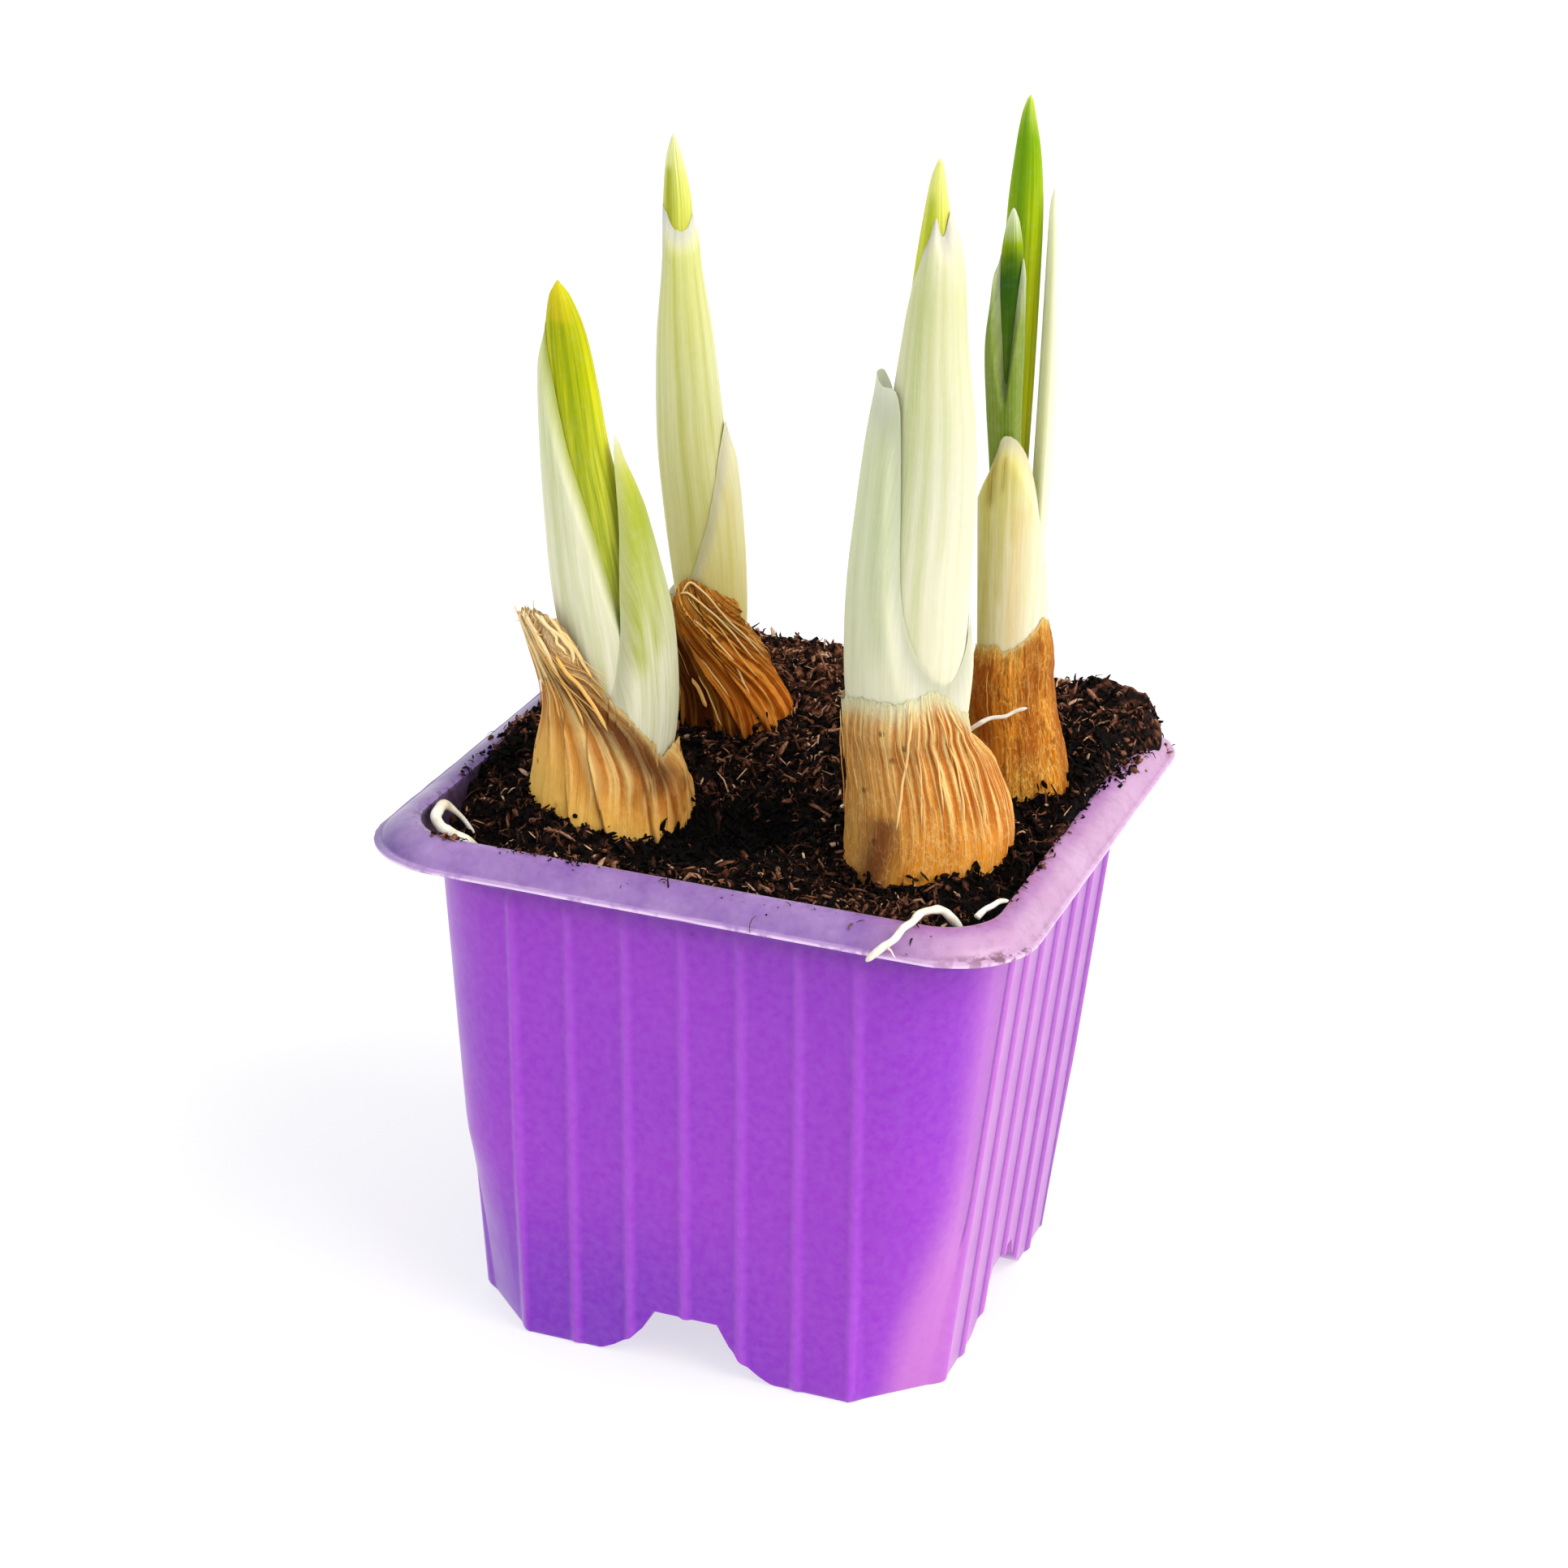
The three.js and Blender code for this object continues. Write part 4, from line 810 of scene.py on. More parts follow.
backLeft = {
    "name": "backLeft", "place": (-14.1, 13.6),
    "tunic": {
        "seed": 23, "columns": 480, "cupZ": 85.5, "fray": 0.3, "hugReach": 4.0,
        "gather": (214, 0.72, 79, 98), "net": 0.1, "stands": [(236, 36, 0.6)],
        "rows": [[63, -5, 6, -5, 5], [69, -8.6, 9.4, -8, 8], [76, -8.8, 9.3, -7.6, 8],
                 [82, -8.6, 6.3, -7.2, 7], [88, -9.4, 3.6, -7, 6.2], [95, -10.4, 2.4, -6.8, 5.6]],
        "rim": [[-60, 95], [-44, 94], [-35, 91.4], [-22, 89.6], [0, 88.7], [40, 89], [90, 90], [140, 91],
                [180, 93], [215, 93.6], [236, 94.4], [248, 97], [260, 97.5], [275, 96.8], [290, 95.7],
                [300, 95], [316, 94], [325, 91.4], [338, 89.6], [360, 88.7], [400, 89]],
        "ridges": [(24, 4.2, 0.8, -0.2, 0.1), (60, 1.8, 0.22, -0.2, 0.1)], "lines": 34, "lineShare": 0.55,
        "mottle": 0.3, "crestHighlightShare": 0.45, "strong": (270, 360, 0.9), "reliefScale": 0.75, "crestFrom": 0.5,
        "crinkle": (318, 30, 0.9), "scales": [(302, 238, 1.3, 1.1), (334, 262, 1.3, 0.5)],
        "colours": shades((0, 120, 64, 18), (0.3, 206, 98, 16), (0.6, 255, 138, 24), (0.85, 255, 162, 50),
                          (1, 250, 186, 88)),
        "furrow": rgb(104, 34, 2), "ridge": rgb(255, 176, 76), "blotch": rgb(226, 108, 14),
        "deep": rgb(62, 24, 4), "strokes": [[260, 62, 234, 87, 30, 1.0], [290, 62, 266, 76, 20, 0.9]],
        "stains": [(rgb(255, 146, 34), [[336, 64, 276, 95, 24, 0.95]]),
                   (rgb(216, 164, 76), [[262, 92, 256, 99, 30, 0.6]])],
        "strands": 16, "strandFrom": 220, "strandTo": 330,
        "longStrands": [
            (0.17, 0.9, [[340, 85], [318, 89], [300, 91.5], [282, 94.6], [268, 96.5], [258, 97],
                         [249, 95.4]]),
            (0.17, 0.9, [[324, 85], [305, 89.3], [288, 92], [273, 94.2], [257, 95.7], [245, 95.4]]),
            (0.16, 0.9, [[297, 81.6], [295, 86], [279, 89.6], [260, 92.3], [244, 93.5], [242, 95]]),
            (0.14, 0.7, [[278, 81], [268, 85], [254, 88.4]]), (0.13, 0.8, [[300, 78], [296, 84]]),
            (0.13, 0.6, [[316, 83], [296, 89], [276, 93]]), (0.12, 0.7, [[264, 77], [255, 84]]),
            (0.3, 0.6, [[247, 83.5], [253, 79.5]]),
        ],
    },
    "leaves": [
        {"name": "Leaf", "tip": (-9.8, 0, 157.2),
         "rows": [[85.9, -6, 0, -2.8, 2.8], [96, -8, -0.9, -3.2, 3.2], [106, -9.6, -1.3, -3.6, 3.6],
                  [118, -11, -3, -3.6, 3.6], [130, -11.3, -5, -3.2, 3.2], [140, -10.9, -6.6, -2.6, 2.6],
                  [148, -11, -7.1, -2, 2], [154, -10.7, -8.5, -1.2, 1.2], [156.6, -10.1, -9.4, -0.4, 0.4]],
         "colours": shades((0, 220, 228, 170), (0.82, 228, 228, 96), (0.92, 238, 238, 140),
                           (1, 248, 246, 210)),
         "deep": rgb(160, 166, 6),
         "strokes": [[238, 144, 232, 152, 26, 1.0], [300, 144, 300, 155, 10, 0.3]]},
        {"name": "InnerSheath", "over": ["Leaf"],
         "rows": [[85.9, -7.4, 1.2, -4.1, 4.1], [96, -9.4, 0.5, -4.6, 4.6], [106, -10.9, 0, -5, 5],
                  [114, -11.9, -1.3, -5, 5], [122, -12.3, -2.4, -4.8, 4.8], [131, -12.4, -3.8, -4.4, 4.4],
                  [140, -11.9, -5.5, -3.8, 3.8], [148, -11.9, -6.2, -3.2, 3.2]],
         "edge": [[-172, 147.8], [-140, 147], [-105, 145], [-60, 144.6], [-20, 146.3], [15, 146.6],
                  [60, 144.4], [110, 144.8], [145, 146.4], [172, 147.6]],
         "colours": shades((0, 212, 196, 110), (0.22, 228, 222, 150), (0.6, 232, 234, 174),
                           (0.9, 224, 228, 142), (1, 252, 250, 226)),
         "deep": rgb(196, 196, 90), "pale": rgb(252, 252, 236),
         "strokes": [[-92, 88, -100, 140, 5, 0.8], [-70, 92, -72, 144, 12, 0.35],
                     [-50, 118, -46, 138, 7, 0.5]]},
        {"name": "OuterSheath", "edgeReach": 6.0, "over": ["InnerSheath"], "stands": [(-8, 26, 0.4)],
         "rows": [[85.9, -8.6, 2.2, -5.3, 5.3], [92, -9.9, 2.1, -5.8, 5.8], [98, -10.8, 1.8, -6, 6],
                  [104, -11.9, 1.3, -6.1, 6.1], [110, -12.7, 0.6, -6.3, 6.3],
                  [118.5, -13.5, -0.8, -6.2, 6.2]],
         "edge": [[-172, 93], [-110, 96], [-80, 103], [-52, 111], [-28, 116.5], [-8, 118.4], [14, 116],
                  [45, 108], [85, 100], [130, 94.5], [172, 93]],
         "colours": shades((0, 214, 192, 104), (0.5, 236, 228, 160), (1, 244, 240, 196)), "paleShare": 0.3,
         "deep": rgb(216, 198, 100), "pale": rgb(246, 242, 206), "strokes": [[-60, 88, -40, 108, 10, 0.4]]},
    ],
}

frontRight = {
    "name": "frontRight", "place": (22.4, -13.9),
    "tunic": {
        "seed": 37, "columns": 400, "cupZ": 87.5, "fray": 0.5, "hugReach": 6.5,
        "gather": (285, 0.0, 60, 92), "net": 0.3, "stands": [(186, 16, 0.5)],
        "rows": [[59, -5, 8, -6.5, 6.5], [64, -8.6, 11, -9.8, 9.8], [70, -9.7, 12.2, -10.8, 10.6],
                 [76, -9.5, 12.6, -10.4, 10.2], [81, -9.5, 11.6, -9.4, 9.2], [86, -9.9, 9.7, -8.2, 8.2],
                 [90, -10.4, 7.9, -7.5, 7.5], [96, -11, 6.9, -7.2, 7.2]],
        "rim": [[-45, 95.4], [-25, 92.9], [-8, 91.8], [20, 91.6], [60, 92], [120, 92.4], [180, 93.8],
                [192, 94.2], [229, 95.4], [252, 95.5], [271, 95.9], [291, 96.8], [315, 95.4], [335, 92.9],
                [352, 91.8], [380, 91.6]],
        "ridges": [(50, 1.3, 0.34, 0.44, 0.66), (20, 1.9, 0.46, 0.4, 0.62)], "lines": 62, "lineShare": 0.85,
        "smooth": 0.4, "flatRim": 1.0, "rimColour": rgb(232, 224, 178), "rimReach": 1.9, "rimShare": 0.95,
        "mottle": 0.15, "strong": (306, 52, 0.16), "reliefScale": 0.4, "scales": [(250, 262, 0.5, 0.2)],
        "colours": shades((0, 196, 112, 26), (0.2, 248, 156, 40), (0.45, 252, 168, 58),
                          (0.68, 244, 168, 70), (0.82, 240, 172, 88), (0.9, 240, 192, 116),
                          (1, 238, 226, 178)),
        "furrow": rgb(176, 84, 12), "ridge": rgb(255, 222, 146), "blotch": rgb(232, 134, 32),
        "deep": rgb(128, 66, 34), "strokes": [[224, 69, 236, 79, 12, 0.95], [212, 64, 222, 71, 14, 0.6]],
        "stains": [(rgb(196, 164, 96), [[206, 72, 222, 91, 32, 0.55]]),
                   (rgb(240, 130, 30), [[345, 62, 345, 84, 26, 0.6]])],
        "strands": 26, "strandFrom": 190, "strandTo": 350,
        "longStrands": [(0.19, 0.8, [[247, 79], [254, 84.7], [266, 90.2], [269, 95]]),
                        (0.12, 0.7, [[264, 80], [272, 88], [276, 94]]),
                        (0.14, 0.7, [[293, 80], [299, 88.9], [291, 94.6]]),
                        (0.14, 0.7, [[309, 79], [316, 88.4], [306, 94.2]]),
                        (0.12, 0.8, [[280, 82], [285, 89], [282, 95]])],
    },
    "leaves": [
        {"name": "Leaf", "tip": (-1.6, 0, 163.9),
         "rows": [[87.9, -6.2, 2.4, -3.8, 3.8], [100, -7.2, 3.6, -4.6, 4.6], [115, -7, 3.6, -4.6, 4.6],
                  [130, -5.8, 2.9, -4, 4], [140, -4.9, 2.1, -3.4, 3.4], [150, -4.1, 1.1, -2.7, 2.7],
                  [157, -3.3, 0, -1.8, 1.8], [161.5, -2.6, -0.8, -0.9, 0.9], [163.3, -2, -1.2, -0.4, 0.4]],
         "colours": shades((0, 216, 224, 160), (0.7, 206, 212, 84), (0.88, 226, 224, 84),
                           (1, 246, 238, 170)),
         "deep": rgb(168, 182, 6),
         "strokes": [[240, 146, 240, 158, 24, 0.9], [205, 134, 220, 150, 18, 0.7]]},
        {"name": "InnerSheath", "over": ["Leaf"], "stands": [(-30, 30, 0.3)],
         "rows": [[87.9, -7.4, 3.7, -5.1, 5.1], [100, -8.6, 5.2, -6, 6], [110, -8.5, 5.2, -6, 6],
                  [120, -7.8, 5.3, -5.8, 5.8], [130, -7, 4.8, -5.4, 5.4], [140, -6.1, 3.3, -4.6, 4.6],
                  [150, -5.3, 2.3, -3.9, 3.9], [157.6, -4.5, 1.2, -3, 3]],
         "edge": [[-187, 118], [-165, 138], [-143, 150.5], [-120, 154], [-95, 156.8], [-70, 154.6],
                  [-40, 156.9], [-15, 157.4], [20, 154], [60, 151], [100, 148], [135, 138], [157, 118]],
         "colours": shades((0, 246, 242, 204), (0.2, 246, 242, 204), (0.5, 232, 232, 200),
                           (0.85, 224, 224, 172), (1, 246, 242, 210)),
         "streaks": 0.5, "deep": rgb(184, 196, 120), "pale": rgb(248, 244, 222),
         "strokes": [[-120, 112, -112, 150, 16, 0.8], [-92, 104, -96, 146, 6, 0.6],
                     [-70, 118, -76, 152, 5, 0.4], [-138, 128, -126, 148, 8, 0.5]]},
        {"name": "OuterSheath", "edgeReach": 12.0, "over": ["InnerSheath"],
         "stands": [(192, 42, 0.95), (-6, 20, 0.1)],
         "rows": [[87.9, -8.8, 6.0, -6.5, 6.5], [92, -9.8, 6.8, -7, 7], [97, -10.4, 7, -7.3, 7.3],
                  [104, -10.7, 6.8, -7.3, 7.3], [111, -10.6, 6.3, -7.1, 7.1], [120, -9.9, 6.2, -7, 7],
                  [129, -9.1, 5.8, -6.6, 6.6], [137, -8.7, 5, -6, 6]],
         "edge": [[28, 97], [45, 98.4], [75, 104], [105, 116], [130, 130], [155, 136], [180, 137],
                  [205, 135.8], [230, 134], [240, 124], [254, 108], [284, 99.5], [318, 97.5], [338, 101],
                  [350, 105], [360, 105.4], [372, 101], [387, 97]],
         "colours": shades((0, 252, 244, 204), (0.15, 244, 243, 202), (0.55, 229, 235, 190),
                           (0.9, 220, 226, 184), (1, 240, 240, 216)),
         "paleShare": 0.0, "streaks": 0.6, "deep": rgb(190, 202, 150), "pale": rgb(224, 224, 190),
         "strokes": [[236, 104, 222, 130, 9, 0.7], [210, 100, 205, 126, 8, 0.4],
                     [243, 112, 232, 130, 3, 0.7]]},
    ],
}

backRight = {
    "name": "backRight", "place": (29.6, 8.8),
    "tunic": {
        "seed": 53, "columns": 260, "cupZ": 88.5, "fray": 0.5, "hugReach": 6.0,
        "gather": (285, 0.0, 60, 92), "net": 0.6,
        "rows": [[63, -5.5, 4.5, -5, 5], [68, -8.2, 7.6, -7.6, 7.4], [74, -7.9, 7, -7.4, 7],
                 [80, -7.6, 5.9, -6.9, 6.6], [88, -7.6, 4.1, -6.3, 6.1], [93, -7.8, 3.4, -6.2, 6],
                 [99, -8.2, 2.9, -6, 5.9]],
        "rim": [[-34, 98.8], [0, 97.4], [40, 96], [100, 95], [180, 94.6], [222, 95.8], [242, 96.4],
                [256, 95.6], [269, 95.8], [281, 96.6], [298, 98], [316, 99.8], [326, 99.6], [360, 97.4],
                [400, 96]],
        "ridges": [(38, 1.7, 0.12, 0.0, 0.3), (9, 3.0, 0.16, 0.3, 0.6)], "lines": 44, "lineShare": 0.08,
        "crestHighlightShare": 0.2, "mottle": 0.75, "grainShare": 0.5, "flatRim": 1.0,
        "rimColour": rgb(255, 226, 150), "rimReach": 0.5, "rimShare": 0.6, "strong": (270, 360, 0.9),
        "reliefScale": 0.2, "scales": [(300, 306, 0.5, 0.2)],
        "colours": shades((0, 170, 96, 22), (0.08, 236, 152, 40), (0.3, 240, 148, 26), (0.65, 242, 150, 30),
                          (0.86, 238, 152, 42), (0.95, 238, 164, 62), (1, 246, 190, 96)),
        "furrow": rgb(142, 62, 4), "ridge": rgb(255, 208, 110), "blotch": rgb(190, 98, 14),
        "deep": rgb(156, 70, 16),
        "strokes": [[226, 80, 232, 93, 20, 0.7], [286, 82, 300, 96, 16, 0.55], [340, 66, 345, 96, 16, 0.6]],
        "stains": [(rgb(206, 150, 60), [[262, 66, 280, 80, 30, 0.7]])], "strands": 4, "strandFrom": 190,
        "strandTo": 350,
    },
    "leaves": [
        {"name": "TallLeaf", "tip": (-4.1, 2, 167.6),
         "rows": [[88.9, -4.8, -1.3, 0.7, 3.6], [104, -5, -1.4, 0.6, 3.8], [118, -5.4, -1.3, 0.5, 3.8],
                  [142, -6.2, -1.3, 0.4, 3.8], [153, -6.2, -1.5, 0.5, 3.7], [160, -5.7, -2.2, 0.8, 3.3],
                  [165, -5.1, -3.2, 1.4, 2.7], [167, -4.5, -3.7, 1.7, 2.3]],
         "colours": shades((0, 228, 226, 120), (0.5, 214, 208, 20), (0.8, 176, 196, 0), (0.93, 140, 176, 0),
                           (1, 220, 228, 100)),
         "deep": rgb(96, 144, 0), "strokes": [[250, 128, 245, 164, 22, 1.0], [210, 130, 215, 164, 20, 0.6]]},
        {"name": "ShortLeaf", "tip": (-5.6, -1.9, 154),
         "rows": [[88.9, -4.7, -2.5, -2.6, -0.7], [104, -5, -2.7, -2.9, -0.8],
                  [118, -5.7, -3.1, -3.2, -0.9], [128, -6.4, -3.5, -3.5, -0.9],
                  [140, -6.9, -3.7, -3.5, -0.8], [148, -6.9, -4, -3.2, -0.9], [152, -6.4, -4.7, -2.6, -1.2],
                  [153.6, -5.9, -5.3, -2.1, -1.7]],
         "colours": shades((0, 186, 190, 40), (0.7, 120, 146, 20), (0.86, 50, 96, 0), (0.93, 160, 184, 0),
                           (1, 246, 246, 220)),
         "deep": rgb(40, 84, 0), "strokes": [[270, 128, 270, 147, 60, 0.8]]},
        {"name": "PaleLeaf", "tip": (-0.3, 1.2, 156),
         "rows": [[88.9, -0.8, 1, -1.8, 2.4], [104, -0.9, 1.3, -2, 2.7], [124, -0.9, 1.8, -2.2, 3],
                  [140, -0.9, 1.6, -1.6, 2.8], [150, -0.9, 1, -0.6, 2.4], [154, -0.8, 0.4, 0.2, 2],
                  [155.6, -0.5, 0, 0.8, 1.6]],
         "colours": shades((0, 254, 248, 204), (0.6, 255, 254, 230), (1, 255, 254, 240)),
         "deep": rgb(240, 236, 170), "strokes": [[240, 110, 240, 150, 14, 0.5]]},
        {"name": "SplitSheath", "over": ["ShortLeaf"], "stands": [(-30, 24, 0.5)], "thickness": 0.65,
         "rows": [[88.9, -5.7, -1.5, -3.5, 0.2], [104, -6.1, -1.6, -3.8, 0.2], [118, -6.8, -2, -4.2, 0.1],
                  [128, -7.8, -2.4, -4.7, 0], [136, -8.4, -2.6, -4.8, 0], [142, -8.1, -2.8, -4.6, -0.2],
                  [148.5, -7.8, -3.1, -4.2, -0.3]],
         "edge": [[-244, 100], [-225, 132], [-200, 144.5], [-175, 147.8], [-150, 143], [-125, 137],
                  [-112, 132.5], [-96, 131.5], [-80, 136], [-55, 144], [-30, 147.6], [-10, 140], [0, 132],
                  [8, 110]],
         "colours": shades((0, 196, 196, 96), (0.5, 134, 152, 56), (0.85, 138, 158, 66),
                           (1, 216, 226, 176)),
         "paleShare": 0.15, "deep": rgb(100, 126, 14), "pale": rgb(236, 238, 204),
         "strokes": [[-98, 112, -96, 134, 20, 1.0], [-150, 118, -160, 142, 10, 0.4]]},
        {"name": "OuterSheath", "over": ["TallLeaf", "ShortLeaf", "PaleLeaf", "SplitSheath"],
         "stands": [(-112, 26, 0.5)],
         "rows": [[88.9, -7.3, 2.3, -5.4, 5], [94, -7.6, 2.6, -5.7, 5.3], [104, -8.1, 2.9, -6.1, 5.6],
                  [116, -8.7, 3, -6.3, 5.6], [124.8, -9, 2.9, -6.4, 5.4]],
         "edge": [[-188, 113], [-165, 117.5], [-140, 121.5], [-120, 124.4], [-104, 124.7], [-84, 122.4],
                  [-62, 117], [-42, 110], [-22, 102], [0, 98.5], [30, 99], [60, 103], [100, 108],
                  [140, 111], [164, 112.5]],
         "colours": shades((0, 255, 236, 178), (0.2, 255, 250, 214), (0.6, 255, 250, 208),
                           (0.92, 252, 238, 160), (1, 254, 248, 214)),
         "paleShare": 0.3, "streaks": 0.6, "deep": rgb(200, 186, 54), "pale": rgb(252, 246, 214),
         "strokes": [[-142, 90, -136, 122, 26, 0.85], [-116, 104, -110, 124, 10, 0.7],
                     [-98, 112, -100, 124, 5, 0.5]],
         "stains": [(rgb(240, 196, 104), [[-92, 98, -90, 114, 12, 0.5]]),
                    (rgb(150, 116, 30), [[-130, 116, -126, 122, 6, 0.8], [-112, 118, -110, 122, 3, 0.6]])]},
    ],
}

plants = [frontLeft, backLeft, frontRight, backRight]
leafDetail = {"columns": 64, "steps": 84, "veins": 26, "veinRise": 0.07, "ripple": 0.12}
sheathDetail = {"columns": 96, "steps": 46, "thickness": 0.75, "edgeThickness": 0.03, "edgeBend": 0.45,
                "edgeReach": 4.0, "edgeGap": 0.03, "edgeRagged": 0.22, "veins": 34, "veinRise": 0.06,
                "ripple": 0.06}


def toWorld(plant, u, w, z):
    x = plant["place"][0] + u * math.cos(plantTurn) - w * math.sin(plantTurn)
    y = plant["place"][1] + u * math.sin(plantTurn) + w * math.cos(plantTurn)
    return stack(x, y, z)


def middleOf(bounds):
    # left, right, front, back as centre and half widths
    left, right, front, back = (bounds[..., k] for k in range(4))
    return (left + right) / 2, (front + back) / 2, (right - left) / 2, (back - front) / 2


def onSection(bounds, angle, inset=0.0):
    u, w, a, b = middleOf(bounds)
    return u + np.maximum(a - inset, 0.05) * np.cos(angle), w + np.maximum(b - inset, 0.05) * np.sin(angle)


def roundBoth(first, second):
    # the outline that goes round both
    wide = first.copy()
    wide[..., [0, 2]] = np.minimum(first[..., [0, 2]], second[..., [0, 2]])
    wide[..., [1, 3]] = np.maximum(first[..., [1, 3]], second[..., [1, 3]])
    return wide


def underOf(plant, names, z):
    # the outline round the named pieces, for what lies close over them
    parts = [readRows(piece["rows"], z) for piece in plant["leaves"] if piece["name"] in names]
    low, high = np.minimum.reduce(parts), np.maximum.reduce(parts)
    return stack(low[..., 0], high[..., 1], low[..., 2], high[..., 3])


def grown(bounds, by):
    return bounds + np.array([-by, by, -by, by])


def closeness(piece, degrees):
    # 1 where an edge lies close on what is under it, less where it stands away from it
    close = np.ones(np.shape(degrees))
    for middle, width, amount in piece.get("stands", ()):
        close = close - amount * bell(angleFrom(degrees, middle) / width)
    return np.clip(close, 0, 1)


def drawnIn(plant, sheath, degrees, z, high):
    # a sheath's outline, drawn in along its edges onto what is under it, and how near an edge each
    # point lies: 1 at the edge itself
    edge = sheath["edge"]
    bounds = readRows(sheath["rows"], z)
    side = np.minimum(degrees - edge[0][0], edge[-1][0] - degrees) * np.pi / 180 * middleOf(bounds)[2]
    near = 1 - soften(np.minimum(high - z, side) / sheath.get("edgeReach", sheathDetail["edgeReach"]))
    close = near**1.3 * closeness(sheath, degrees)
    beneath = grown(underOf(plant, sheath["over"], z), sheathDetail["edgeGap"])
    return blend(bounds, beneath, close[..., None]), near


def shootOutline(plant, degrees, z):
    # the outline of the whole shoot at each angle and height
    outline = underOf(plant, [piece["name"] for piece in plant["leaves"] if "tip" in piece], z)
    for sheath in (piece for piece in plant["leaves"] if "edge" in piece):
        first, last = sheath["edge"][0][0], sheath["edge"][-1][0]
        turned = (degrees - first) % 360 + first
        high = readRows(sheath["edge"], turned)[..., 0]
        bounds, _ = drawnIn(plant, sheath, turned, z, high)
        outline = np.where(((turned <= last) & (z < high))[..., None], roundBoth(outline, bounds), outline)
    return outline


def grainOf(angle, z, stretch=60.0):
    # a place for noise that runs in streaks along the piece and meets itself round it
    return around(angle, 3, z / stretch)


def veinsAt(angle, z, count):
    # fine upright veins that wander a little, from -1 to 1
    return np.cos(angle * count + 1.5 * cellNoise(around(angle, 1, z / 30)))


def stainsOf(piece):
    return [(piece["deep"], piece["strokes"]), *piece.get("stains", ())]


def stainMarks(piece, angle, z):
    marks = {}
    for k, (_, strokes) in enumerate(stainsOf(piece)):
        marks[f"stain{k}"] = np.zeros(np.broadcast(angle, z).shape)
        for lowAngle, lowZ, highAngle, highZ, width, strength in strokes:
            t = (z - lowZ) / (highZ - lowZ)
            away = angleFrom(np.degrees(angle), blend(lowAngle, highAngle, np.clip(t, 0, 1)))
            fade = soften(t * 4 + 1) * soften((1 - t) * 5 + 1)
            marks[f"stain{k}"] = np.maximum(marks[f"stain{k}"], strength * fade * bell(away / width))
    return marks


def layStains(paint, piece, breakUp):
    # each stain's colour, broken into streaks
    for k, (stain, _) in enumerate(stainsOf(piece)):
        paint.over(stain, f"stain{k}", breakUp)


def leafShape(plant, leaf):
    detail, rows, tip = leafDetail, leaf["rows"], leaf["tip"]
    low, high = rows[0][0], rows[-1][0]
    angle = np.linspace(0, 2 * math.pi, detail["columns"], endpoint=False)[None, :]
    steps = np.sin(np.linspace(0, 1, detail["steps"]) * math.pi / 2) ** 0.9
    z = blend(low, high, steps)[:, None] + 0 * angle
    bounds = readRows(rows, z)
    wave = cellNoise(around(angle, 2.4, z / 18 + tip[2]))
    veins = detail["veinRise"] * (1 - veinsAt(angle, z, detail["veins"])) / 2
    inset = np.clip(middleOf(bounds)[2] / 3, 0, 1) * (veins + detail["ripple"] * (1 - wave) / 2)
    marks = {"grain": grainOf(angle, z), "along": (z - low) / (tip[2] - low), **stainMarks(leaf, angle, z)}
    shape = loftShape(toWorld(plant, *onSection(bounds, angle, inset), z), marks)
    shape["points"][-1] = toWorld(plant, *tip)
    return shape


def sheathShape(plant, sheath):
    detail, rows, edge = sheathDetail, sheath["rows"], sheath["edge"]
    low, count, steps = rows[0][0], detail["columns"], detail["steps"]
    degrees = np.linspace(edge[0][0], edge[-1][0], count)[None, :]
    angle = np.radians(degrees)
    ragged = layeredNoise(stack(degrees / 9, plant["place"][0], rows[0][1]), 1.0, 3)
    high = readRows(edge, degrees)[..., 0] + detail["edgeRagged"] * ragged
    z = blend(low, high, np.linspace(0, 1, steps)[:, None] ** 0.9)
    bounds, near = drawnIn(plant, sheath, degrees, z, high)
    wave = cellNoise(around(angle, 2, z / 16 + rows[0][2]))
    veins = detail["veinRise"] * (1 - veinsAt(angle, z, detail["veins"])) / 2
    bend = detail["edgeBend"] * near**2 * (1 - closeness(sheath, degrees))
    outerInset = bend + (veins + detail["ripple"] * (1 - wave)) * (1 - 0.8 * near)
    thick = sheath.get("thickness", detail["thickness"])
    innerInset = np.maximum(blend(thick, bend + detail["edgeThickness"], near**1.1), outerInset + 0.04)
    layers = [toWorld(plant, *onSection(bounds, angle, inset), z) for inset in (outerInset, innerInset)]
    size = steps * count
    outside = gridFaces(steps, count)
    inside = outside[:, ::-1] + size
    loop = [*range(count), *(k * count + count - 1 for k in range(1, steps))]
    loop += [(steps - 1) * count + k for k in range(count - 2, -1, -1)]
    loop = np.array(loop + [k * count for k in range(steps - 2, 0, -1)])
    following = np.roll(loop, -1)
    rim = np.stack([loop, loop + size, following + size, following], -1)
    marks = {"grain": grainOf(angle, z), "along": (z - low) / (max(row[1] for row in edge) - low),
             "pale": np.clip(near, 0, 1) ** 1.5, **stainMarks(sheath, angle, z)}
    for name, value in marks.items():
        marks[name] = np.concatenate([value, value]).reshape((2 * size, 3) if name == "grain" else 2 * size)
    faces = outside.tolist() + inside.tolist() + rim.tolist()
    return {"points": np.concatenate(layers).reshape(-1, 3), "faces": faces, "marks": marks}


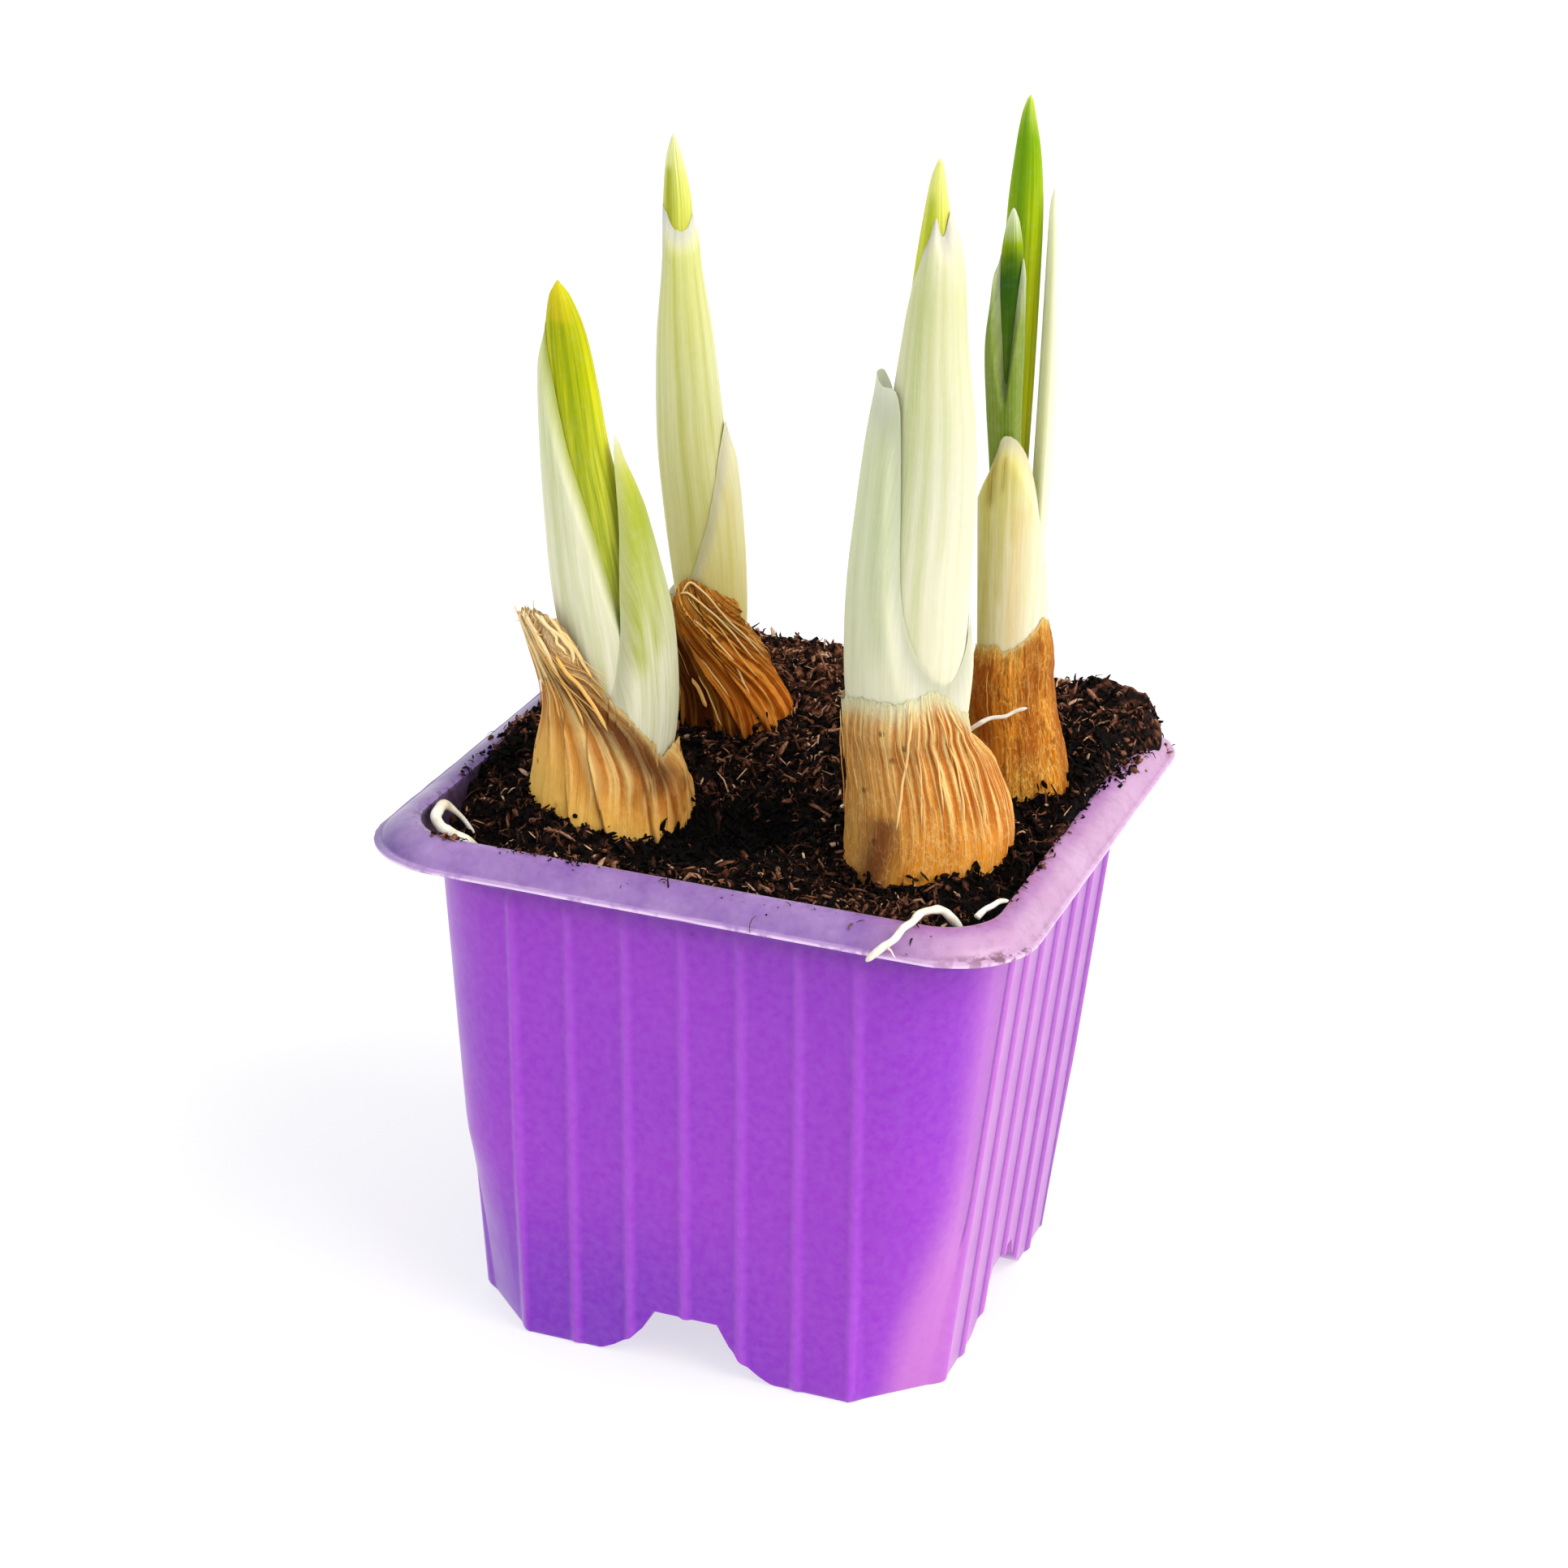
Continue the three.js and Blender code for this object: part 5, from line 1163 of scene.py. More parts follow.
def makeShootMaterial(name, piece):
    isLeaf = "tip" in piece
    paint = Paint(name, {
        "Subsurface Weight": 0.35, "Subsurface Scale": 0.004, "Subsurface Radius": (0.8, 1.0, 0.35),
        "Specular IOR Level": 0.1 if isLeaf else 0.18,
    })
    grain = paint.mark("grain", "Vector")
    broad, fine = paint.noise(2.2, 2, at=grain), paint.noise(9, 3, 0.6, grain)
    paint.colour = paint.ramp("along", piece["colours"])
    streaks = piece.get("streaks", 1.0)
    paint.over(piece["deep"], paint.fit(broad, 0.42, 0.68, 0.0, (0.5 if isLeaf else 0.34) * streaks))
    paint.over(piece["deep"], paint.fit(fine, 0.5, 0.7, 0.0, (0.38 if isLeaf else 0.24) * streaks))
    layStains(paint, piece, paint.fit(fine, 0.3, 0.65, 0.6, 1.0))
    if not isLeaf:
        paint.over(piece["pale"], "pale", piece.get("paleShare", 0.5))
    bloom = paint.fit(paint.noise(900, 4, 0.6), 0.5, 0.75, 0.0, 0.03 if isLeaf else 0.08)
    paint.over(rgb(250, 250, 240), bloom)
    return paint.finished(roughness=paint.fit(fine, 0.3, 0.7, 0.42, 0.6),
                          normal=paint.bump(fine, 0.35, 0.00016))


def makeShoot(plant):
    for piece in plant["leaves"]:
        name = plant["name"] + piece["name"]
        shape = leafShape(plant, piece) if "tip" in piece else sheathShape(plant, piece)
        slotName = "leaf" if "tip" in piece else "sheath"
        makePiece(name, shape, makeShootMaterial(name, piece), slotName, [nodeName(name)], 50)


# Tunics.
tunicDetail = {"levels": 92, "innerLevels": 10, "thickness": 0.7, "edgeThickness": 0.1,
               "edgeGap": 0.17, "shootGap": 0.5, "tail": 1.0, "strandSides": 3, "longStrandSides": 5,
               "strandSteps": 12}


def tunicBounds(plant, z):
    # the tunic's outline, widened near its mouth to hold the shoot
    tunic = plant["tunic"]
    bounds = readRows(tunic["rows"], z)
    names = [piece["name"] for piece in plant["leaves"]]
    room = tunicDetail["shootGap"] + tunicDetail["thickness"]
    beneath = grown(underOf(plant, names, np.maximum(z, tunic["cupZ"])), room)
    return blend(bounds, roundBoth(bounds, beneath), soften((z - tunic["cupZ"] + 5) / 5)[..., None])


def closeBounds(plant, degrees, z, under):
    # the tunic's outline, drawn in near the torn rim to lie on the shoot
    tunic = plant["tunic"]
    close = (1 - soften(under / tunic["hugReach"])) ** 1.2 * closeness(tunic, degrees)
    shoot = shootOutline(plant, degrees + 0 * z, np.maximum(z, tunic["cupZ"]) + 0 * degrees)
    return blend(tunicBounds(plant, z), grown(shoot, tunicDetail["edgeGap"]), close[..., None])


def gathered(tunic, degrees, z):
    # the angle at the bulb's foot of the fibre through a point, as fibres gather to one side above
    side, amount, low, high = tunic["gather"]
    return side + angleFrom(degrees, side) / (1 - amount * soften((z - low) / (high - low)))


def ridgeHeight(tunic, start, share):
    # how high the long fibres stand out, and how plainly they are drawn
    draw = np.random.default_rng(tunic["seed"])
    height = np.zeros(np.broadcast(start, share).shape)
    for count, width, rise, fadeLow, fadeHigh in tunic["ridges"]:
        for k in range(count):
            middle = 360 * (k + draw.uniform(-0.4, 0.4)) / count
            wander = width * 1.5 * cellNoise(stack(share * 3.1, k * 7.7, count))
            away = angleFrom(start - middle, wander)
            fade = soften((share - fadeLow - draw.uniform(-0.12, 0.12)) / (fadeHigh - fadeLow))
            ridge = bell(away / (width * draw.uniform(0.6, 1.5)))
            height = np.maximum(height, rise * draw.uniform(0.35, 1.0) * fade * ridge)
    side, reach, least = tunic["strong"]
    strong = least + (1 - least) * bell(angleFrom(start, side) / reach)
    _, _, _, fadeLow, fadeHigh = tunic["ridges"][0]
    return height * strong, strong * soften((share - fadeLow) / (fadeHigh - fadeLow))


def scaleHeight(tunic, degrees, share):
    # papery layers that overlap: their height, and the painted shade of a dark crease along their edge
    height = np.zeros(np.broadcast(degrees, share).shape)
    creaseShade = height.copy()
    for low, high, top, rise in tunic["scales"]:
        away = angleFrom(degrees, blend(low, high, share) + 2.0 * cellNoise(stack(share * 4.0, low, 0)))
        fade = soften((top - share) * 6)
        height = height + fade * rise * soften(away / 1.6 + 0.5) * np.exp(-np.maximum(away, 0) / 13)
        creaseShade = np.maximum(creaseShade, fade * bell((away + 0.9) / 1.1))
    return height, creaseShade


def tunicShape(plant):
    tunic, detail = plant["tunic"], tunicDetail
    degrees = np.linspace(0, 360, tunic["columns"], endpoint=False)[None, :]
    angle = np.radians(degrees)
    circle = around(angle, 1, tunic["seed"])
    ragged = 0.5 * cellNoise(circle * 5) + 0.6 * cellNoise(circle * 16) + 0.5 * cellNoise(circle * 40)
    rim = readRows(tunic["rim"], degrees)[..., 0] + tunic["fray"] * ragged
    share = np.linspace(0, 1, detail["levels"])[:, None] ** 0.85
    z = blend(tunic["rows"][0][0], rim, share)
    under = rim - z  # how far below the torn rim
    start = gathered(tunic, degrees, z)
    ridges, lined = ridgeHeight(tunic, start, share)
    scales, creaseShade = scaleHeight(tunic, degrees, share)
    papery = layeredNoise(around(angle, 9, z / 2), 2.2, 4, 0.6)
    lift = ridges + scales + 0.3 * papery + 0.06 * cellNoise(around(np.radians(start), 26, z / 4))
    if "crinkle" in tunic:
        side, reach, rise = tunic["crinkle"]
        folds = layeredNoise(toWorld(plant, 9 * np.cos(angle), 9 * np.sin(angle), z * 1.3), 3.2, 3)
        lift = lift + rise * folds * bell(angleFrom(degrees, side) / reach)
    lift = lift * soften(share * 3) * (1 - tunic.get("flatRim", 0.5) * soften(1 - under / 1.5))
    outer = toWorld(plant, *onSection(closeBounds(plant, degrees, z, under), angle, 0.1 - lift), z)
    # the inside, from the rim down to the cup that the shoot stands in
    t = np.minimum(np.linspace(1, 0, detail["innerLevels"])[:, None], 0.985)
    innerZ = blend(tunic["cupZ"], rim, t)
    innerUnder = rim - innerZ
    thick = blend(detail["thickness"], detail["edgeThickness"], 1 - soften(innerUnder / 4))
    innerBounds = closeBounds(plant, degrees, innerZ, innerUnder)
    inner = toWorld(plant, *onSection(innerBounds, angle, thick), innerZ)
    everyZ = np.concatenate([z, innerZ])
    everyStart = gathered(tunic, degrees, everyZ)
    everyTurn, none = np.radians(everyStart), 0 * innerZ
    marks = {
        "grain": grainOf(everyTurn, everyZ, 80.0), "net": grainOf(everyTurn, everyZ, 7.5),
        "along": np.concatenate([share + 0 * angle, t + 0 * angle]),
        "ridge": np.concatenate([ridges, none]) / tunic["reliefScale"],
        "creaseShade": np.concatenate([creaseShade, none]),
        "lined": np.concatenate([lined, none]),
        "turn": everyStart / 360,
        "rim": bell(np.concatenate([under, none]) / tunic.get("rimReach", 0.8)),
        **stainMarks(tunic, angle, everyZ),
    }
    shape = loftShape(np.concatenate([outer, inner]), marks)
    shape["points"][-2][2] -= detail["tail"]
    return shape


def rimAt(tunic, degrees):
    first = tunic["rim"][0][0]
    return float(readRows(tunic["rim"], [(degrees - first) % 360 + first])[0, 0])


def onTunic(plant, degrees, z, above):
    # a place a little above the tunic's surface
    under = np.array([rimAt(plant["tunic"], d) for d in degrees]) - z
    bounds = closeBounds(plant, degrees, z, np.maximum(under, 0))
    return toWorld(plant, *onSection(bounds, np.radians(degrees), -above), z)


def tubeShape(path, radius, sides, marks):
    # a round tube along a path of points, with its own radius and marks at each
    ahead = np.gradient(path, axis=0)
    ahead /= np.linalg.norm(ahead, axis=1)[:, None]
    up = np.array([0.0, 0.0, 1.0]) if abs(ahead[0, 2]) < 0.9 else np.array([1.0, 0.0, 0.0])
    rings = []
    turn = np.linspace(0, 2 * math.pi, sides, endpoint=False)[:, None]
    for point, forward, size in zip(path, ahead, radius):
        up = up - forward * (up @ forward)
        up /= np.linalg.norm(up)
        rings.append(point + size * (np.cos(turn) * np.cross(forward, up) + np.sin(turn) * up))
    return loftShape(rings, {name: stack(*[value] * sides) for name, value in marks.items()})


def strandShape(plant):
    # loose fibres that lie along the tunic, and the frayed tuft above its rim
    tunic, sides = plant["tunic"], tunicDetail["strandSides"]
    draw = np.random.default_rng(tunic["seed"] + 500)
    side, amount, low, high = tunic["gather"]
    t = np.linspace(0, 1, tunicDetail["strandSteps"])
    shapes = []
    for top in [draw.uniform(tunic["strandFrom"], tunic["strandTo"]) for _ in range(tunic["strands"])]:
        topZ = rimAt(tunic, top) - draw.uniform(1.2, 6)
        z = blend(max(topZ - draw.uniform(5, 13), tunic["rows"][0][0] + 7), topZ, t)
        start = float(gathered(tunic, top, topZ))
        away = (start - side) * (1 - amount * soften((z - low) / (high - low)))
        degrees = side + away + draw.uniform(-3, 3) * t
        degrees = degrees + 1.2 * np.sin(t * draw.uniform(3, 8) + draw.uniform(0, 6))
        above = 0.5 * tunic["reliefScale"] + 0.1 + draw.uniform(0.0, 0.25) * np.sin(t * 3.1)
        radius = draw.uniform(0.05, 0.1) * soften(t * 6 + 0.1) * soften((1 - t) * 6 + 0.1)
        marks = {"along": 0 * t, "tone": 0 * t + draw.uniform(0, 0.8)}
        shapes.append(tubeShape(onTunic(plant, degrees, z, above), radius, sides, marks))
    for size, tone, path in tunic.get("longStrands", ()):
        s = np.linspace(0, 1, 8 * len(path))
        line = readRows([[k, *spot] for k, spot in enumerate(path)], s * (len(path) - 1))
        degrees = line[:, 0] + 0.8 * cellNoise(stack(s * 7, path[0][0], 0))
        radius = size * soften(s * 6 + 0.2) * soften((1 - s) * 6 + 0.3)
        marks = {"along": 0.9 * s * tone**3, "tone": 0 * s + tone}
        spots = onTunic(plant, degrees, line[:, 1], 0.65 * tunic["reliefScale"] + 0.1)
        shapes.append(tubeShape(spots, radius, tunicDetail["longStrandSides"], marks))
    tuft = tunic.get("tuft", {"count": 0})
    for _ in range(tuft["count"]):
        degrees = tuft["middle"] + draw.normal() * tuft["width"]
        foot = np.array([rimAt(tunic, degrees) - draw.uniform(0.5, 3)])
        foot = onTunic(plant, np.array([degrees]), foot, 0.15)[0]
        turn = math.radians(degrees)
        outward = toWorld(plant, math.cos(turn), math.sin(turn), 0) - toWorld(plant, 0, 0, 0)
        way = outward * draw.uniform(-0.1, 0.7) + np.array([0, 0, 0.8]) + 0.25 * draw.normal(size=3)
        way /= np.linalg.norm(way)
        bend = 0.35 * draw.normal(size=3) + outward * draw.uniform(-0.7, 0.2)
        bend = bend + np.array([0, 0, draw.uniform(-0.5, 0.1)])
        length = draw.uniform(tuft["low"], tuft["high"])
        path = foot + length * (t[:, None] * way + t[:, None] ** 2 * bend * 0.5)
        radius = draw.uniform(0.06, 0.14) * (1 - 0.6 * t)
        shapes.append(tubeShape(path, radius, sides, {"along": t, "tone": 0 * t + draw.uniform(0.3, 1)}))
    return joinShapes(shapes)


def makeTunicMaterial(name, tunic):
    paint = Paint(name, {
        "Subsurface Weight": 0.08, "Subsurface Scale": 0.002, "Subsurface Radius": (1.0, 0.5, 0.2),
        "Specular IOR Level": 0.05,
    })
    furrow, ridge = tunic["furrow"], tunic["ridge"]
    grain, net = paint.mark("grain", "Vector"), paint.mark("net", "Vector")
    broad, fine = paint.noise(3, 3, 0.6, grain), paint.noise(14, 3, 0.65, grain)
    paint.colour = paint.ramp("along", tunic["colours"])
    paint.over(tunic["blotch"], paint.fit(paint.noise(130, 4, 0.6), 0.45, 0.7, 0.0, 0.6))
    layStains(paint, tunic, paint.fit(fine, 0.35, 0.6, 0.5, 1.0))
    # the grain of the fibres, fainter on the smooth lower part
    smooth, grainShare = tunic.get("smooth", 0.0), tunic.get("grainShare", 1.0)
    rough = paint.fit("along", smooth - 0.12, smooth + 0.12, 0.3, 1.0)
    for noise, low, high, share, tint in ((broad, 0.36, 0.56, 0.4, furrow), (fine, 0.38, 0.5, 0.42, furrow),
                                          (fine, 0.68, 0.54, 0.4, ridge)):
        paint.over(tint, paint.fit(noise, low, high, share * grainShare, 0.0), rough)
    shifted = paint.add("TexNoise", {"Vector": net, "Scale": 2.5}).outputs["Color"]
    netPlace = paint.add("VectorMath", {0: net, 1: shifted}, operation="ADD").outputs[0]
    cells = paint.add("TexVoronoi", {"Vector": netPlace, "Scale": 3.0}, feature="DISTANCE_TO_EDGE")
    netting = paint.fit(cells.outputs[0], 0.02, 0.11, tunic["net"], 0.0)
    paint.over(ridge, netting)
    mottle = paint.fit(paint.noise(2.6, 4, 0.65, netPlace), 0.5, 0.64, 0.0, tunic.get("mottle", 0.0))
    paint.over(furrow, mottle)
    # crisp fibres at uneven distances, dark between
    wander = paint.times(paint.noise(2, 2, at=grain), 3.0)
    turned = paint.plus(paint.times("turn", tunic["lines"]), wander)
    gap = paint.add("TexVoronoi", {"W": turned, "Scale": 1.0}, voronoi_dimensions="1D").outputs["Distance"]
    lined = paint.times("lined", tunic.get("lineShare", 0.6))
    line = paint.fit(gap, 0.08, 0.24, 1.0, 0.0)
    paint.over(furrow, lined, paint.fit(gap, 0.2, 0.4))
    paint.over(ridge, lined, line)
    # painted highlight: the ridge colour on the highest raised fibres
    crest = paint.fit("ridge", tunic.get("crestFrom", 0.4), 1.0, 0.0, tunic.get("crestHighlightShare", 0.6))
    paint.over(ridge, crest)
    # painted shade in the crease along each overlapping layer's edge
    paint.over(furrow, "creaseShade", 0.85)
    paint.over(tunic["deep"], "stain0", 0.8)
    paint.over(tunic.get("rimColour", ridge), "rim", tunic.get("rimShare", 0.5))
    picked = paint.fit(paint.noise(160, 2), 0.56, 0.64)
    paint.over(rgb(96, 52, 22), paint.fit(paint.spots(420), 0.28, 0.18), picked, 0.7)
    low = paint.bump(paint.plus(broad, paint.times(lined, line)), 0.5, 0.0005)
    middle = paint.bump(netting, 0.5, 0.0003, low)
    return paint.finished(roughness=paint.fit(fine, 0.3, 0.7, 0.45, 0.7),
                          normal=paint.bump(fine, 0.7, 0.00035, middle))


def makeStrandMaterial():
    paint = Paint("looseFibre", {
        "Roughness": 0.6, "Subsurface Weight": 0.1, "Subsurface Scale": 0.001, "Specular IOR Level": 0.05,
    })
    paint.colour = paint.ramp("tone", shades((0, 206, 138, 66), (0.6, 248, 192, 108), (1, 255, 222, 162)))
    paint.over(rgb(252, 236, 200), paint.fit("along", 0.6, 1.0, 0.0, 0.7))
    return paint.finished()


strandMaterial = makeStrandMaterial()


def makeTunic(plant):
    name, tunicMaterial = plant["name"], makeTunicMaterial(plant["name"] + "Tunic", plant["tunic"])
    makePiece(name + "Tunic", tunicShape(plant), tunicMaterial, "tunic", [nodeName(name + "Bulb")], 70)
    makePiece(name + "TunicFibres", strandShape(plant), strandMaterial, "tunic")


for plant in plants:
    makeShoot(plant)
    makeTunic(plant)
    print(plant["name"], "plant made")

# White roots that come up out of the peat. Branches are (radius, share of it left at the tip, path).
roots = [
    {"name": "rimRoot", "radius": 0.58, "thin": 0.8,
     "path": [[35.2, -34.4, 71.4], [34.7, -35.4, 73.4], [33.8, -36.8, 75.2], [32.5, -38.4, 76.1],
              [31.3, -40.2, 75.8], [30.5, -42.3, 75.2], [29.6, -44.3, 74.1], [28.2, -45.6, 72.9],
              [26.7, -46.2, 71.3]],
     "branches": [
         (0.42, 0.7, [[36.9, -34, 73.9], [37.6, -32.6, 74.7], [38.5, -30.6, 74.9], [39.3, -28.6, 74.6]]),
         (0.2, 0.3, [[28.7, -45.3, 73.1], [29.6, -45.7, 73], [30.4, -46, 72.3]]),
     ]},
    {"name": "cornerRoot", "radius": 0.82, "thin": 0.9, "start": 0.4,
     "path": [[-33.2, -25.6, 66.4], [-36, -27.4, 71.8], [-37.4, -29.1, 74], [-37.6, -31.6, 74.3],
              [-37, -33.3, 73.6], [-35.6, -33.4, 72.4], [-33.4, -31.6, 70.4], [-31.6, -29.8, 67.4]]},
    {"name": "frontRoot", "radius": 0.45, "thin": 0.5,
     "path": [[8.8, -11.6, 69.8], [9.2, -10.2, 71.8], [9.7, -7.8, 73.2], [10.2, -5.4, 74.3],
              [10.7, -3.6, 75.3]]},
    {"name": "backRoot", "radius": 0.4, "thin": 0.6,
     "path": [[25.2, -1.4, 73.4], [25.2, -2.2, 79.4], [25.2, -2.9, 84.6], [26.8, -3, 87.1],
              [28.7, -2.5, 88], [30.8, -2, 88.8], [32.8, -1.6, 89.8]]},
]
rootDetail = {"stepsPerPoint": 12, "sides": 14}


def makeRootMaterial():
    paint = Paint("whiteRoot", {
        "Subsurface Weight": 0.25, "Subsurface Scale": 0.002, "Subsurface Radius": (1.0, 0.9, 0.7),
    })
    cloudy = paint.noise(500)
    stops = shades((0.3, 226, 208, 176), (0.5, 246, 240, 224), (0.75, 252, 250, 244))
    paint.colour = paint.ramp(cloudy, stops)
    return paint.finished(roughness=paint.fit(cloudy, 0.3, 0.7, 0.3, 0.5),
                          normal=paint.bump(paint.noise(1500), 0.4, 0.0002))


rootMaterial = makeRootMaterial()


def rootShape(thick, thin, path, start=1.0):
    rows = [[k, *point] for k, point in enumerate(path)]
    places = np.linspace(0, len(path) - 1, rootDetail["stepsPerPoint"] * (len(path) - 1) + 1)
    wander = stack(*(cellNoise(stack(places * 1.3, k * 9, 0)) for k in range(3)))
    t = places / places[-1]
    knobs = 1 + 0.12 * cellNoise(stack(places * 2.2, 5, thick * 40))
    radius = thick * blend(1.0, thin, t) * knobs * blend(start, 1.0, soften((t - 0.12) / 0.25))
    radius[-4:] *= [0.95, 0.82, 0.6, 0.3]
    return tubeShape(readRows(rows, places) + 0.12 * wander, radius, rootDetail["sides"], {})


for root in roots:
    shapes = [rootShape(root["radius"], root["thin"], root["path"], root.get("start", 1.0))]
    shapes += [rootShape(*branch) for branch in root.get("branches", ())]
    makePiece(root["name"], joinShapes(shapes), rootMaterial, "root", [nodeName(root["name"])])
print("roots made")

# Crumbs and fibres of peat on the heap.


def insideMouth(x, y, margin=0.0):
    half, radius = pot["mouthHalf"] - margin, pot["mouthCorner"]
    return (beyond(x, y, half - radius) < radius) & (np.abs(x) < half) & (np.abs(y) < half)


def insideWall(x, y, z, margin):
    # true over the rim too
    start = pot["cornerStart"]
    return (z > pot["lipZ"]) | (start + beyond(x, y, start) < wallHalf(z) - margin)


def clearOfBulbs(x, y, z, margin):
    clear = np.ones(np.shape(x), bool)
    for plant in plants:
        dx, dy = x - plant["place"][0], y - plant["place"][1]
        du = dx * math.cos(plantTurn) + dy * math.sin(plantTurn)
        dw = -dx * math.sin(plantTurn) + dy * math.cos(plantTurn)
        u, w, a, b = middleOf(tunicBounds(plant, z))
        clear &= ((du - u) / (a + margin)) ** 2 + ((dw - w) / (b + margin)) ** 2 > 1
    return clear


def scatter(draw, count, margin, bulbMargin):
    found = np.zeros((0, 3))
    while len(found) < count:
        x, y = draw.uniform(-pot["mouthHalf"], pot["mouthHalf"], (2, count))
        z = peatHeight(x, y)
        keep = insideMouth(x, y, margin) & clearOfBulbs(x, y, z, bulbMargin)
        keep &= insideWall(x, y, z, 1.2 + 1.5 * margin)
        found = np.concatenate([found, stack(x, y, z)[keep]])
    return found[:count]


def turns(draw, count):
    # random rotation matrices
    q = draw.normal(size=(count, 4))
    a, b, c, d = (q / np.linalg.norm(q, axis=1)[:, None]).T
    return np.array([
        [1 - 2 * (c * c + d * d), 2 * (b * c - a * d), 2 * (b * d + a * c)],
        [2 * (b * c + a * d), 1 - 2 * (b * b + d * d), 2 * (c * d - a * b)],
        [2 * (b * d - a * c), 2 * (c * d + a * b), 1 - 2 * (b * b + c * c)],
    ]).transpose(2, 0, 1)


def ballShape(rounds):
    ball = bmesh.new()
    bmesh.ops.create_icosphere(ball, subdivisions=rounds, radius=1)
    points = np.array([v.co for v in ball.verts])
    faces = np.array([[v.index for v in face.verts] for face in ball.faces])
    ball.free()
    return points, faces


def repeatedFaces(faces, count, step):
    # the faces of one piece for many like it, whose points follow each other
    return (faces[None] + np.arange(count)[:, None, None] * step).reshape(-1, faces.shape[1]).tolist()


def crumbShape(draw, places, rounds, low, high, form=(1, 1, 1), sizes=1.0, tones=None):
    base, faces = ballShape(rounds)
    count = len(places)
    size = draw.uniform(low, high, (count, 1, 1)) * draw.uniform(0.55, 1.25, (count, 1, 3)) * form
    size = size * np.reshape(sizes, (-1, 1, 1))
    bodies = base[None] * size * (1 + 0.34 * draw.uniform(-1, 1, (count, len(base), 1)))
    bodies = np.einsum("nij,nkj->nki", turns(draw, count), bodies)
    tones = draw.uniform(0.15, 0.6, count) if tones is None else tones
    marks = {"tone": np.repeat(tones + paler(places), len(base))}
    points = (bodies + places[:, None, :]).reshape(-1, 3)
    return {"points": points, "faces": repeatedFaces(faces, count, len(base)), "marks": marks}


def barkTones(draw, count):
    # mostly dark, some brown, a few pale
    kind = draw.uniform(0, 1, count)
    dark, brown, pale = (draw.uniform(*span, count) for span in ((0.15, 0.48), (0.48, 0.74), (0.72, 1.04)))
    return np.where(kind < 0.6, dark, np.where(kind < 0.93, brown, pale))


def surfaceHeight(x, y):
    # the top of the peat, or of the rim where that is higher
    tops, halves, _ = zip(*pot["rimProfile"][:-11:-1])  # the rim's top, from the mouth outwards
    rim = np.interp(pot["mouthHalf"] - fromMouth(x, y), halves, tops)
    return np.where(insideMouth(x, y), peatHeight(x, y), np.maximum(peatHeight(x, y), rim))


spills = (  # peat on the rim: from x, y to x, y, how far it spreads, how many crumbs, their largest size
    (-39.8, 30, -39.8, -20, 0.6, 60, 0.45),
    (-39.6, 4, -39.8, -6, 1.0, 60, 0.6),
    (-34.5, -39.2, -31, -39.8, 0.6, 36, 0.5),
    (-26, -39.8, -14, -39.8, 0.7, 50, 0.35),
    (-14, -41, 34, -41, 1.5, 26, 0.2),
    (39.6, -30, 39.8, 22, 0.5, 80, 0.4),
    (40.2, 16, 41.5, 36, 1.1, 130, 0.6),
    (-30, 40.3, 34, 40.3, 0.7, 120, 0.6),
)


def spillPlaces(draw):
    places, sizes = [], []
    for x0, y0, x1, y1, spread, count, size in spills:
        t = draw.uniform(0, 1, count)
        x = blend(x0, x1, t) + spread * draw.normal(size=count)
        y = blend(y0, y1, t) + spread * draw.normal(size=count)
        z = surfaceHeight(x, y)
        keep = insideWall(x, y, z, 2.2)
        places.append(stack(x, y, z)[keep])
        sizes.append(size * draw.uniform(0.4, 1, count)[keep])
    return np.concatenate(places), np.concatenate(sizes)


def collarPlaces(draw, count):
    # where crumbs lie heaped up against the bulbs
    places = []
    for plant in plants:
        degrees = draw.uniform(0, 360, count)
        angle, z = np.radians(degrees), np.full(count, 74.0)
        for _ in range(3):
            spot = toWorld(plant, *onSection(tunicBounds(plant, z), angle, -0.3), z)
            z = peatHeight(spot[:, 0], spot[:, 1])
        heaped = soften(cellNoise(stack(degrees / 22, plant["place"][0], 0)) + 0.55)
        z = z + 2.4 * draw.uniform(0, 1, count) ** 2 * heaped
        out = -draw.uniform(0.1, 0.5, count)
        places.append(toWorld(plant, *onSection(tunicBounds(plant, z), angle, out), z))
    return np.concatenate(places)


def makeCrumbs():
    draw = np.random.default_rng(91)
    small = scatter(draw, peat["crumbs"], 0.3, 0.0)
    large = scatter(draw, peat["clods"], 1.0, 0.1)
    flat = scatter(draw, peat["flakes"], 0.2, 0.0)
    for places, low, high in ((small, -0.15, 0.3), (large, -0.5, 0.2), (flat, -0.05, 0.5)):
        places[:, 2] += draw.uniform(low, high, len(places))
    spilt, sizes = spillPlaces(draw)
    spilt[:, 2] += 0.3 * sizes
    collar = collarPlaces(draw, peat["collar"])
    shapes = [crumbShape(draw, small, 1, 0.2, 0.55), crumbShape(draw, large, 2, 0.4, 0.9, (1.3, 0.9, 0.6))]
    tones = barkTones(draw, len(flat))
    shapes.append(crumbShape(draw, flat, 1, 0.3, 0.95, (1.7, 0.44, 0.22), tones=tones))
    tones = draw.uniform(0.3, 0.75, len(spilt))
    shapes.append(crumbShape(draw, spilt, 1, 1.0, 1.0, (1.3, 0.8, 0.5), sizes, tones))
    tones = draw.uniform(0.1, 0.55, len(collar))
    shapes.append(crumbShape(draw, collar, 1, 0.25, 0.75, (1.5, 0.6, 0.35), tones=tones))
    makePiece("peatCrumbs", joinShapes(shapes), peatMaterial, "soil")


